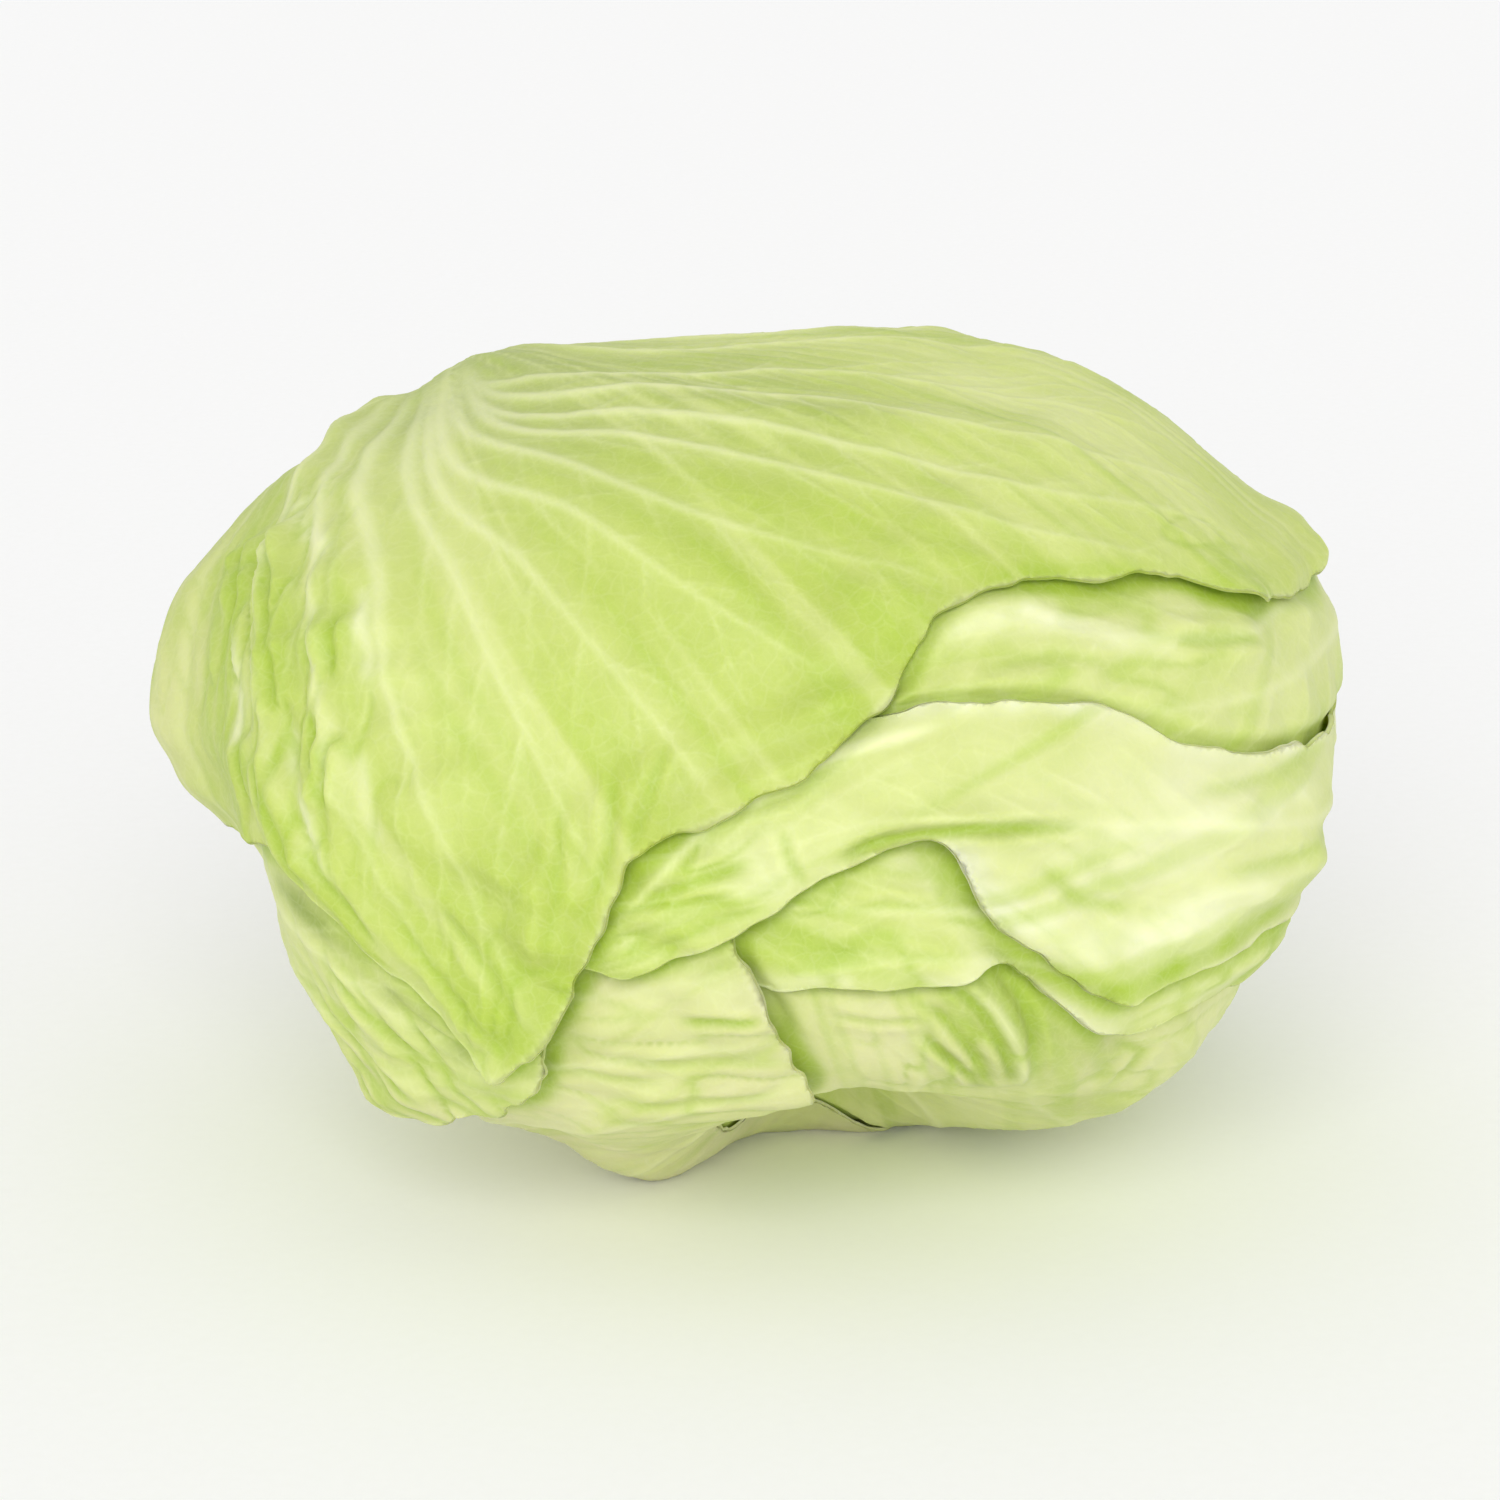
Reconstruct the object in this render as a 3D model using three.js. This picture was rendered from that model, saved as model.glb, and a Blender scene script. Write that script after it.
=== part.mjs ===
// Head of cabbage lying on its side, in millimetres. +X is the long way across,
// -Y the side with the crown, +Z up, and the floor is z = 0.
// A dense heart is wrapped by seven loose leaves, each grown from the cut stem,
// which points backwards, to the left and a little up.
import * as THREE from "three";
import { mergeVertices } from "three/addons/utils/BufferGeometryUtils.js";

// ---- driving dimensions -----------------------------------------------------
const HALF_WIDTH = 101.6; // heart, along X
const HALF_DEPTH = 88.8; // heart, along Y
const HALF_HEIGHT = 72.6; // heart, along Z
const FULLNESS = 2.25; // 2 is an ellipsoid, more is squarer
const CENTRE_HEIGHT = 73; // of the head's middle over the floor
const STEM_AT = [-163, 12]; // longitude and latitude of the cut stem
const STEM_REACH = 9.2; // degrees: half width of the cut stem seen from the middle
const STEM_PROUD = 2.5; // of the cut face over the leaf bases
const STEM_SEAT = 0.5; // gap between the stem and the heart
const STEM_ROUNDING = 1.2; // fall of the cut face at its edge
const BLADE = 1.2; // leaf thickness
const BLADE_EDGE = 0.7; // leaf thickness at its margin
const EDGE_BAND = 9; // over which the blade thins out
const RIB = 2.4; // that a midrib adds to the blade at its base
const RIB_WIDTH = 9;
const AIR = 0.8; // between one leaf and the next
const RIM_BAND = 16; // over which the margin curls and waves
const DRAPE = 15; // over which a leaf sinks past the margin of the one below
const DRAPE_START = 2; // beyond that margin
const BLEND = 0.6; // that rounds a leaf's seat over the edges below
const REST_BITE = 0.4; // that the rest spot takes off the lowest leaf
const CREASE_DEPTH = 2.2; // of the creases in the heart
const CREASE_WIDTH = 7;
const NOMINAL_RADIUS = 92; // turns angles into lengths along the leaves

// ---- fineness of the meshes ---------------------------------------------------
const HEART_DETAIL = 9; // subdivisions of an icosahedron's edge
const STEM_GRAIN = 4; // triangle size in the stem
const STEM_SIDES = 72;
const MARGIN_STEPS = 6; // from one point of a margin to the next
const GRID_CELL = 2 * (Math.PI / 180); // of the distances from a margin
const GRID_HALF = 72; // cells from a leaf's middle to the grid's end

// Longitude 0 is the front (-Y), 90 the right (+X), 180 the back; latitude 90 is the top.
const RAD = Math.PI / 180;
const at = (lon, lat) => [
  Math.sin(lon * RAD) * Math.cos(lat * RAD),
  -Math.cos(lon * RAD) * Math.cos(lat * RAD),
  Math.sin(lat * RAD),
];
const dot = (a, b) => a[0] * b[0] + a[1] * b[1] + a[2] * b[2];
const scale = (a, k) => [a[0] * k, a[1] * k, a[2] * k];
const add = (a, b) => [a[0] + b[0], a[1] + b[1], a[2] + b[2]];
const sub = (a, b) => [a[0] - b[0], a[1] - b[1], a[2] - b[2]];
const cross = (a, b) => [
  a[1] * b[2] - a[2] * b[1],
  a[2] * b[0] - a[0] * b[2],
  a[0] * b[1] - a[1] * b[0],
];
const unit = (a) => scale(a, 1 / Math.hypot(...a));
const clamp = (x, a, b) => Math.min(b, Math.max(a, x));
const ease = (x) => {
  const t = clamp(x, 0, 1);
  return t * t * (3 - 2 * t);
};
const angle = (a, b) => Math.acos(clamp(dot(a, b), -1, 1)) / RAD;
// A hump 1 high at its middle, told by the distance from there.
const hump = (away, width) => Math.exp(-((away / width) ** 2));

// A place told from the stem: bearing 0 is up, 90 round the back, 180 down,
// 270 round the front; reach is the angle from the stem.
const STEM = at(...STEM_AT);
const STEM_UP = unit(sub([0, 0, 1], scale(STEM, STEM[2])));
const STEM_BACK = cross(STEM, STEM_UP);
const near = (bearing, reach) =>
  add(
    scale(STEM, Math.cos(reach * RAD)),
    scale(
      add(
        scale(STEM_UP, Math.cos(bearing * RAD)),
        scale(STEM_BACK, Math.sin(bearing * RAD)),
      ),
      Math.sin(reach * RAD),
    ),
  );

// Swells and hollows of the whole head: where, height, angular width.
const SWELLS = [
  [at(-92, 6), 13, 13],
  [at(-112, -22), -29, 34],
  [at(-84, -34), -12, 19],
  [at(-88, -14), -9, 9],
  [at(-68, -5), -5, 9],
  [at(-62, -52), -3, 13],
  [at(16, -50), -25, 21],
  [at(-26, -64), 6, 12],
  [at(62, -46), 3, 14],
  [at(81, -10), -13, 12],
  [at(92, 17), 4, 12],
  [at(108, 42), 3, 14],
  [at(135, 62), 3, 16],
  [at(-96, 24), 6, 11],
  [at(-112, 58), 3, 11],
  [at(-34, -40), -4, 7],
  [at(16, -67), -9.5, 11],
];

// ---- the leaves, innermost first --------------------------------------------
// margin: round the leaf, from one side of its base. folds: soft ridges along a
// path [places, height, width in mm]. curls: lifts of the margin at a place
// [place, height, angular width]. rib: the midrib's path from the base.
const LEAVES = [
  {
    name: "leaf_underside",
    color: 0xd6dd97,
    grain: 8,
    wave: 0.8,
    middle: at(95, -62),
    margin: [
      near(140, 11), near(165, 10.4), near(192, 11), near(205, 22), near(206, 45),
      at(-128, -55), at(-100, -74), at(-50, -70), at(-33, -54), at(-20, -34),
      at(-12, -14), at(2, -3), at(22, 2), at(45, 2), at(65, -2), at(90, -8),
      at(120, -12), at(150, -12), near(118, 40), near(125, 22),
    ],
    rib: [near(165, 10), at(-165, -30), at(120, -50)],
    folds: [
      [[at(22, -7), at(26, -13), at(30, -22)], 2.6, 5],
      [[at(33, -10), at(36, -15), at(38, -26)], 2.6, 6],
      [[at(48, -16), at(54, -22), at(57, -34)], 2.0, 7],
    ],
    curls: [],
  },
  {
    name: "leaf_right_lower",
    color: 0xcfe07c,
    grain: 8.2,
    wave: 1.0,
    middle: at(72, 0),
    margin: [
      near(102, 11), near(126, 10.4), near(150, 11), near(158, 24), at(-178, -30),
      at(150, -36), at(120, -35), at(92, -28), at(74, -17), at(58, -13.5),
      at(48, -14), at(42, -15), at(37, -14.5), at(32, -11.5), at(28, -8),
      at(24, -5.5), at(20, -7), at(15, -8), at(8, -7.5), at(0, -7), at(-8, -4),
      at(-10, 4), at(0, 12), at(20, 18), at(50, 22), at(85, 20), at(120, 16),
      at(150, 14), near(88, 34), near(92, 20),
    ],
    rib: [near(126, 10), at(170, -12), at(110, -12)],
    folds: [[[at(28, -4), at(38, -9), at(50, -8), at(64, -9)], 1.5, 7]],
    curls: [[at(41, -14), 2.2, 9], [at(11, -9), 1.6, 9]],
  },
  {
    name: "leaf_bottom_left",
    color: 0xd6dba0,
    grain: 8.5,
    wave: 1.2,
    middle: at(-60, -42),
    margin: [
      near(186, 11), near(212, 10.4), near(238, 11), near(243, 25), near(250, 48),
      at(-82, 3), at(-55, 5), at(-30, 7), at(-12, 5), at(-3, 1), at(-1, -5),
      at(2, -10), at(4, -16), at(7, -23), at(4, -33), at(-3, -44), at(-10, -54),
      at(-9, -64), at(10, -72), at(50, -72), at(82, -69), at(145, -66),
      at(-170, -58), near(184, 36), near(178, 20),
    ],
    rib: [near(212, 10), at(-120, -35), at(-60, -52)],
    folds: [
      [[at(-18, -12), at(-8, -10), at(2, -11)], 2.2, 6],
      [[at(-22, -28), at(-8, -26), at(6, -24)], 1.4, 7],
    ],
    curls: [[at(4, -17), 2.4, 9]],
  },
  {
    name: "leaf_lower_left",
    color: 0xc6d876,
    grain: 7.5,
    wave: 2.0,
    middle: at(-80, 0),
    margin: [
      near(244, 11), near(268, 10.4), near(296, 11), near(305, 22), near(306, 38),
      at(-88, 36), at(-62, 30), at(-42, 18), at(-30, 7), at(-23, -4),
      at(-23, -16), at(-27, -24), at(-36, -28), at(-44, -30), at(-52, -30),
      at(-68, -33), at(-92, -32), at(-112, -26), near(230, 34), near(234, 20),
    ],
    rib: [near(268, 10), at(-96, 8), at(-62, -6)],
    folds: [],
    curls: [[at(-48, -31), 5.2, 9], [at(-28, -24), 1.2, 8]],
  },
  {
    name: "leaf_right_upper",
    color: 0xdbe59d,
    grain: 8.2,
    wave: 0.8,
    middle: at(105, 28),
    margin: [
      near(34, 11), near(56, 10.4), near(80, 11), near(85, 25), near(84, 46),
      at(128, 2), at(95, -3), at(62, -1), at(36, 5), at(18, 12), at(10, 20),
      at(12, 30), at(28, 40), at(55, 46), at(95, 50), at(140, 54), at(172, 50),
      near(22, 26),
    ],
    rib: [near(56, 10), at(170, 36), at(105, 28)],
    folds: [[[at(27, 30), at(33, 30), at(39, 27), at(46, 24), at(62, 19)], 1.2, 6]],
    curls: [],
  },
  {
    name: "leaf_right",
    color: 0xe6edb6,
    grain: 6.9,
    wave: 0.6,
    middle: at(90, 2),
    margin: [
      near(74, 11), near(96, 10.4), near(120, 11), near(126, 24), near(126, 48),
      at(150, -20), at(120, -20), at(92, -14), at(75, -8), at(60, -7.5),
      at(47, -8.5), at(41, -9.5), at(37, -10.5), at(32, -8), at(27, -4.5),
      at(23, 0), at(20.5, 4.5), at(18, 8.5), at(10, 6.5), at(-1, 0), at(-8, -3),
      at(-14, -6), at(-19, -5), at(-20, 3), at(-14, 11), at(-5, 17), at(6, 20.5),
      at(13, 22), at(20, 22.5), at(27, 22), at(34, 20.5), at(40, 18), at(45, 15),
      at(51, 12.5), at(58, 10.5), at(67, 9), at(79, 7.5), at(93, 7), at(107, 9),
      at(123, 15), at(140, 22), at(157, 27), near(56, 24),
    ],
    rib: [near(96, 10), at(175, 6), at(110, 2), at(70, 4)],
    folds: [
      [[at(20, 10), at(22, 6), at(26, 1), at(33, -4), at(39, -4), at(62, -2)], 2.2, 5],
      [[at(17, 11), at(26, 11), at(38, 9), at(50, 6)], 1.4, 5],
      [[at(52, 4), at(66, 5), at(84, 4)], 1.2, 7],
    ],
    curls: [
      [at(37, -11), 1.6, 8], [at(22, 5), 1.2, 6], [at(4, 3), 1.6, 9],
      [at(-12, -5), 1.6, 7],
    ],
  },
  {
    name: "leaf_cover",
    color: 0xd3e286,
    grain: 7.2,
    wave: 0.6,
    middle: at(-62, 66),
    margin: [
      near(318, 11), near(344, 10.4), near(20, 11), near(32, 22), near(36, 36),
      at(142, 38), at(118, 29), at(102, 22), at(92, 19.5), at(83, 19),
      at(76, 20.5), at(70, 22), at(65, 23), at(61, 25), at(57, 28), at(51, 30),
      at(46, 30.5), at(41, 32), at(35, 33), at(29, 33), at(23, 31.5), at(18, 26),
      at(11, 20), at(5, 15), at(-2, 12), at(-10, 8), at(-14, 3), at(-17, -4),
      at(-20, -10), at(-24, -15), at(-28, -18), at(-36, -10), at(-44, -5),
      at(-51, 0), at(-58, 0), at(-66, -3), at(-77, -4), at(-90, -2), at(-104, 5),
      at(-120, 13), near(300, 24), near(306, 16),
    ],
    rib: [near(344, 10), at(-122, 46), at(-86, 62)],
    folds: [
      [[at(-116, 48), at(-80, 62), at(0, 66), at(60, 50)], 2.0, 8],
      [[at(-112, 46), at(-66, 50), at(-20, 42), at(8, 28)], 1.5, 7],
      [[at(-108, 42), at(-68, 38), at(-38, 20), at(-22, 0)], 1.8, 8],
      [[at(-104, 40), at(-76, 31), at(-60, 18), at(-53, 7), at(-48, -1)], 2.2, 5],
      [[at(-62, 32), at(-50, 20), at(-44, 6), at(-38, -5)], 1.4, 5],
      [[at(-89, 16), at(-84, 7), at(-80, 0)], 3.6, 8],
    ],
    curls: [
      [at(97, 20), 3.0, 8], [at(63, 24), 1.7, 5], [at(46, 31), 1.4, 5],
      [at(8, 17), 0.8, 7], [at(-12, 6), 1.2, 7], [at(-26, -17), 1.6, 6],
    ],
  },
];

// ---- the surface of the heart --------------------------------------------------
function heartRadius(d) {
  let radius = Math.pow(
    Math.pow(Math.abs(d[0]) / HALF_WIDTH, FULLNESS) +
      Math.pow(Math.abs(d[1]) / HALF_DEPTH, FULLNESS) +
      Math.pow(Math.abs(d[2]) / HALF_HEIGHT, FULLNESS),
    -1 / FULLNESS,
  );
  for (const [place, height, width] of SWELLS)
    radius += height * hump(Math.hypot(...sub(d, place)), width * RAD);
  return radius;
}

// Distance from the head's middle to the floor, in a direction that meets it.
const DOWNWARD = -0.05;
function floorRadius(d) {
  return d[2] < DOWNWARD ? CENTRE_HEIGHT / -d[2] : Infinity;
}

// The heart sinks over the floor so that the leaves under it lie flat on it.
function heartSurface(d, top) {
  return Math.min(heartRadius(d), floorRadius(d) - top + REST_BITE);
}

const FLOOR_SNAP = 1e-6;
function placeAt(d, radius) {
  const p = scale(d, Math.min(radius, floorRadius(d)));
  const z = p[2] + CENTRE_HEIGHT;
  return [p[0], p[1], Math.abs(z) < FLOOR_SNAP ? 0 : z];
}

// ---- a leaf's own plane --------------------------------------------------------
// The sphere of directions unrolled round a leaf's middle, and back.
function toPlane(leaf, d) {
  const reach = Math.acos(clamp(dot(d, leaf.middle), -1, 1));
  const x = dot(d, leaf.along);
  const y = dot(d, leaf.across);
  const length = Math.hypot(x, y) || 1;
  return [(reach * x) / length, (reach * y) / length];
}
function fromPlane(leaf, [x, y]) {
  const reach = Math.hypot(x, y);
  if (reach === 0) return leaf.middle;
  const k = Math.sin(reach) / reach;
  const side = add(scale(leaf.along, x * k), scale(leaf.across, y * k));
  return unit(add(scale(leaf.middle, Math.cos(reach)), side));
}

// A closed smooth curve through points of the plane, with even slopes by length.
function smoothLoop(points) {
  const count = points.length;
  const point = (i) => points[(i + count) % count];
  const span = (i) => Math.hypot(...[0, 1].map((k) => point(i + 1)[k] - point(i)[k]));
  const slope = (i, k) => {
    const before = span(i - 1);
    const after = span(i);
    const into = (point(i)[k] - point(i - 1)[k]) / before;
    const away = (point(i + 1)[k] - point(i)[k]) / after;
    return (away * before + into * after) / (before + after);
  };
  const loop = [];
  for (let i = 0; i < count; i++)
    for (let j = 0; j < MARGIN_STEPS; j++) {
      const t = j / MARGIN_STEPS;
      const u = 1 - t;
      const coordinate = (k) =>
        u * u * (1 + 2 * t) * point(i)[k] +
        t * t * (1 + 2 * u) * point(i + 1)[k] +
        span(i) * t * u * (u * slope(i, k) - t * slope(i + 1, k));
      loop.push([coordinate(0), coordinate(1)]);
    }
  return loop;
}

// Each side of a closed polyline, as its two ends.
const sides = (loop) => loop.map((a, i) => [a, loop[(i + 1) % loop.length]]);
const sideLength = ([a, b]) => Math.hypot(b[0] - a[0], b[1] - a[1]);
const loopLength = (loop) => sides(loop).reduce((sum, side) => sum + sideLength(side), 0);

// Points at equal steps along a closed polyline.
function evenly(loop, count) {
  const step = loopLength(loop) / count;
  const out = [];
  let walked = 0;
  for (const side of sides(loop)) {
    const [a, b] = side;
    const length = sideLength(side);
    while (out.length < count && out.length * step <= walked + length) {
      const t = (out.length * step - walked) / length;
      out.push([a[0] + (b[0] - a[0]) * t, a[1] + (b[1] - a[1]) * t]);
    }
    walked += length;
  }
  return out;
}

// Distance from a closed polyline, negative inside it.
function distanceToLoop(loop, x, y) {
  let nearest = Infinity;
  let inside = false;
  for (const [a, b] of sides(loop)) {
    const ex = b[0] - a[0];
    const ey = b[1] - a[1];
    const t = clamp(((x - a[0]) * ex + (y - a[1]) * ey) / (ex * ex + ey * ey), 0, 1);
    nearest = Math.min(nearest, Math.hypot(x - a[0] - t * ex, y - a[1] - t * ey));
    const level = a[1] > y !== b[1] > y;
    if (level && x < a[0] + ((y - a[1]) / ey) * ex) inside = !inside;
  }
  return inside ? -nearest : nearest;
}

// Each leaf's margin in its own plane, anticlockwise, and the distance from it.
function prepare(leaf) {
  leaf.along = unit(sub(STEM, scale(leaf.middle, dot(STEM, leaf.middle))));
  leaf.across = cross(leaf.middle, leaf.along);
  leaf.loop = smoothLoop(leaf.margin.map((d) => toPlane(leaf, d)));
  const turn = sides(leaf.loop).reduce((sum, [a, b]) => sum + a[0] * b[1] - a[1] * b[0], 0);
  if (turn < 0) leaf.loop.reverse();
  leaf.grid = [];
  for (let i = -GRID_HALF; i <= GRID_HALF; i++)
    for (let j = -GRID_HALF; j <= GRID_HALF; j++)
      leaf.grid.push(distanceToLoop(leaf.loop, i * GRID_CELL, j * GRID_CELL));
}
LEAVES.forEach(prepare);

// Distance in mm past the leaf's margin, negative on the leaf.
function past(leaf, d) {
  const [x, y] = toPlane(leaf, d).map((v) => v / GRID_CELL + GRID_HALF);
  const row = Math.floor(x);
  const column = Math.floor(y);
  const width = 2 * GRID_HALF + 1;
  if (Math.min(row, column) < 0 || Math.max(row, column) >= width - 1) return Infinity;
  const s = x - row;
  const t = y - column;
  const corner = (i, j) => leaf.grid[(row + i) * width + column + j];
  const low = corner(0, 0) * (1 - t) + corner(0, 1) * t;
  const high = corner(1, 0) * (1 - t) + corner(1, 1) * t;
  return NOMINAL_RADIUS * (low * (1 - s) + high * s);
}

// Distance in mm from a path of places, and how far along it, 0 to 1.
function fromPath(path, d) {
  let nearest = Infinity;
  let where = 0;
  for (let i = 0; i + 1 < path.length; i++) {
    const step = sub(path[i + 1], path[i]);
    const t = clamp(dot(sub(d, path[i]), step) / dot(step, step), 0, 1);
    const away = Math.hypot(...sub(d, unit(add(path[i], scale(step, t)))));
    if (away >= nearest) continue;
    nearest = away;
    where = (i + t) / (path.length - 1);
  }
  return [nearest * NOMINAL_RADIUS, where];
}

// ---- how the leaves stack over the heart ---------------------------------------
// Waves about 25 mm long, 0 to 1, which flute the margins.
function ripple(d) {
  const across = Math.sin(23 * d[0] + 5 * Math.sin(9 * d[2]) + 1);
  const down = Math.sin(21 * d[2] + 17 * d[1] + 3);
  return 0.5 + 0.5 * across * down;
}

// How far a leaf stands off what is under it: its folds, and its curled, waved
// margin, which rises from RIM_BAND inside the margin and falls away past it.
const RIM_CREST = [-2, 6];
function lift(leaf, d, beyond) {
  const rim =
    ease(1 + (beyond - RIM_CREST[0]) / RIM_BAND) * ease(1 - (beyond - RIM_CREST[1]) / RIM_BAND);
  let height = leaf.wave * rim * ripple(d);
  for (const [path, rise, width] of leaf.folds)
    height += rise * hump(fromPath(path, d)[0], width);
  for (const [place, rise, width] of leaf.curls)
    height += rise * rim * hump(angle(place, d), width);
  return height;
}

function thickness(leaf, d, beyond) {
  const within = ease(-beyond / EDGE_BAND);
  const [away, where] = fromPath(leaf.rib, d);
  const rib = RIB * (1 - where) * hump(away, RIB_WIDTH);
  return BLADE_EDGE + (BLADE - BLADE_EDGE + rib) * within;
}

// The larger of two heights, rounded where they are within BLEND of each other.
const softMax = (a, b) =>
  Math.max(a, b) + Math.max(BLEND - Math.abs(a - b), 0) ** 2 / (4 * BLEND);

// Heights over the heart of both faces of every leaf, in one direction. Each
// leaf lies on those inside it, and sinks back past their margins.
function stack(d) {
  let top = 0;
  const faces = LEAVES.map((leaf) => {
    const beyond = past(leaf, d);
    const inner = top + AIR + lift(leaf, d, beyond);
    const outer = inner + thickness(leaf, d, beyond);
    const hold = 1 - ease((beyond - DRAPE_START) / DRAPE);
    top = softMax(top, hold * outer);
    return [inner, outer];
  });
  return { faces, top };
}

// ---- meshes ---------------------------------------------------------------------
// The circle through three points: its corners by number, centre and radius squared.
function circle(points, a, b, c) {
  const bx = points[b][0] - points[a][0];
  const by = points[b][1] - points[a][1];
  const cx = points[c][0] - points[a][0];
  const cy = points[c][1] - points[a][1];
  const turn = 2 * (bx * cy - by * cx);
  const x = (cy * (bx * bx + by * by) - by * (cx * cx + cy * cy)) / turn;
  const y = (bx * (cx * cx + cy * cy) - cx * (bx * bx + by * by)) / turn;
  return { a, b, c, x: x + points[a][0], y: y + points[a][1], square: x * x + y * y };
}

// Delaunay triangles of points in the plane, each anticlockwise. The points are
// taken from left to right, and a triangle whose circle they have passed is done.
const FAR = 900;
function triangulate(points) {
  const count = points.length;
  const all = points.concat([[-FAR, -FAR], [FAR, -FAR], [0, FAR]]);
  let open = [circle(all, count, count + 1, count + 2)];
  const done = [];
  const order = points.map((_, i) => i).sort((i, j) => all[i][0] - all[j][0]);
  for (const p of order) {
    const [x, y] = all[p];
    const edges = new Map();
    const toggle = (i, j) => {
      const key = Math.min(i, j) + "," + Math.max(i, j);
      if (!edges.delete(key)) edges.set(key, [i, j]);
    };
    open = open.filter((t) => {
      const passed = x > t.x && (x - t.x) ** 2 > t.square;
      if (passed) done.push(t);
      if (passed) return false;
      if ((x - t.x) ** 2 + (y - t.y) ** 2 >= t.square) return true;
      toggle(t.a, t.b);
      toggle(t.b, t.c);
      toggle(t.c, t.a);
      return false;
    });
    for (const [i, j] of edges.values()) open.push(circle(all, i, j, p));
  }
  const cross2 = ([ax, ay], [bx, by], [cx, cy]) => (bx - ax) * (cy - ay) - (by - ay) * (cx - ax);
  return [...done, ...open]
    .filter(({ a, b, c }) => Math.max(a, b, c) < count)
    .map(({ a, b, c }) => (cross2(all[a], all[b], all[c]) > 0 ? [a, b, c] : [a, c, b]));
}

// Points inside a loop, on a lattice of equal triangles.
const ROW = Math.sqrt(3) / 2;
const CLEAR_OF_RIM = 0.6; // steps
function lattice(loop, step) {
  const points = [];
  const half = Math.ceil(Math.PI / step);
  for (let i = -half; i <= half; i++)
    for (let j = -half; j <= half; j++) {
      const x = (i + (j % 2) / 2) * step;
      const y = j * ROW * step;
      if (distanceToLoop(loop, x, y) < -CLEAR_OF_RIM * step) points.push([x, y]);
    }
  return points;
}

// A sheet with a leaf's outline: the same triangles on both faces, joined round
// the margin. grain is the triangles' size in mm; faces(d) gives two radii.
function sheet(leaf, grain, faces) {
  const step = grain / NOMINAL_RADIUS;
  const rim = evenly(leaf.loop, Math.round(loopLength(leaf.loop) / step));
  const flat = [...rim, ...lattice(rim, step)];
  const count = flat.length;
  const middle = (corners, k) => corners.reduce((sum, i) => sum + flat[i][k], 0) / 3;
  const kept = triangulate(flat).filter((t) => distanceToLoop(rim, middle(t, 0), middle(t, 1)) < 0);
  const index = kept.flat();
  for (const [a, b, c] of kept) index.push(a + count, c + count, b + count);
  for (let a = 0; a < rim.length; a++) {
    const b = (a + 1) % rim.length;
    index.push(a, a + count, b, b, a + count, b + count);
  }
  const outside = [];
  const inside = [];
  for (const p of flat) {
    const d = fromPlane(leaf, p);
    const [low, high] = faces(d);
    outside.push(...placeAt(d, high));
    inside.push(...placeAt(d, low));
  }
  const geometry = new THREE.BufferGeometry();
  geometry.setAttribute("position", new THREE.Float32BufferAttribute([...outside, ...inside], 3));
  geometry.setIndex(index);
  return geometry;
}

const group = new THREE.Group();
group.name = "cabbage_head";
function addMesh(name, geometry, color) {
  geometry.computeVertexNormals();
  const material = new THREE.MeshStandardMaterial({ color, roughness: 0.6, metalness: 0 });
  const mesh = new THREE.Mesh(geometry, material);
  mesh.name = name;
  group.add(mesh);
}

// The heart, a dense ball of tight leaves, with creases between them.
const CREASES = [
  [near(20, 25), at(150, 60), at(60, 50), at(20, 20), at(5, 0)],
  [near(140, 25), at(150, -35), at(80, -45), at(40, -30), at(12, -8)],
  [near(260, 25), at(-90, -5), at(-50, 10), at(-20, 15), at(8, -2)],
  [at(-45, -60), at(-10, -66), at(16, -67), at(45, -64), at(80, -56)],
];
function heartGeometry() {
  const ball = new THREE.IcosahedronGeometry(1, HEART_DETAIL);
  ball.deleteAttribute("normal");
  ball.deleteAttribute("uv");
  const geometry = mergeVertices(ball, 1e-4);
  const position = geometry.attributes.position;
  for (let i = 0; i < position.count; i++) {
    const d = unit([position.getX(i), position.getY(i), position.getZ(i)]);
    const creases = CREASES.map((path) => hump(fromPath(path, d)[0], CREASE_WIDTH));
    const sunk = CREASE_DEPTH * Math.min(creases.reduce((a, b) => a + b), 1);
    position.setXYZ(i, ...placeAt(d, heartSurface(d, stack(d).top) - sunk));
  }
  return geometry;
}
addMesh("heart", heartGeometry(), 0xe2e8b0);

// The cut stem, a slightly uneven disc standing a little proud of the leaf bases.
function stemGeometry() {
  const stem = { middle: STEM, along: STEM_UP, across: STEM_BACK, loop: [] };
  for (let k = 0; k < STEM_SIDES; k++) {
    const turn = (k / STEM_SIDES) * 2 * Math.PI;
    const uneven = 1 + 0.05 * Math.cos(2 * turn + 0.6) + 0.03 * Math.sin(3 * turn);
    const reach = STEM_REACH * RAD * uneven;
    stem.loop.push([reach * Math.cos(turn), reach * Math.sin(turn)]);
  }
  const bearings = [0, 60, 120, 180, 240, 300];
  const bases = Math.max(...bearings.map((b) => stack(near(b, STEM_REACH + 3)).top));
  const face = heartRadius(STEM) + bases + STEM_PROUD;
  return sheet(stem, STEM_GRAIN, (d) => {
    const reach = angle(d, STEM) / STEM_REACH;
    return [heartRadius(d) + STEM_SEAT, face - STEM_ROUNDING * reach ** 4];
  });
}
addMesh("stem", stemGeometry(), 0xe9e6c4);

LEAVES.forEach((leaf, k) => {
  const geometry = sheet(leaf, leaf.grain, (d) => {
    const { faces, top } = stack(d);
    const surface = heartSurface(d, top);
    return faces[k].map((height) => surface + height);
  });
  addMesh(leaf.name, geometry, leaf.color);
});

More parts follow.
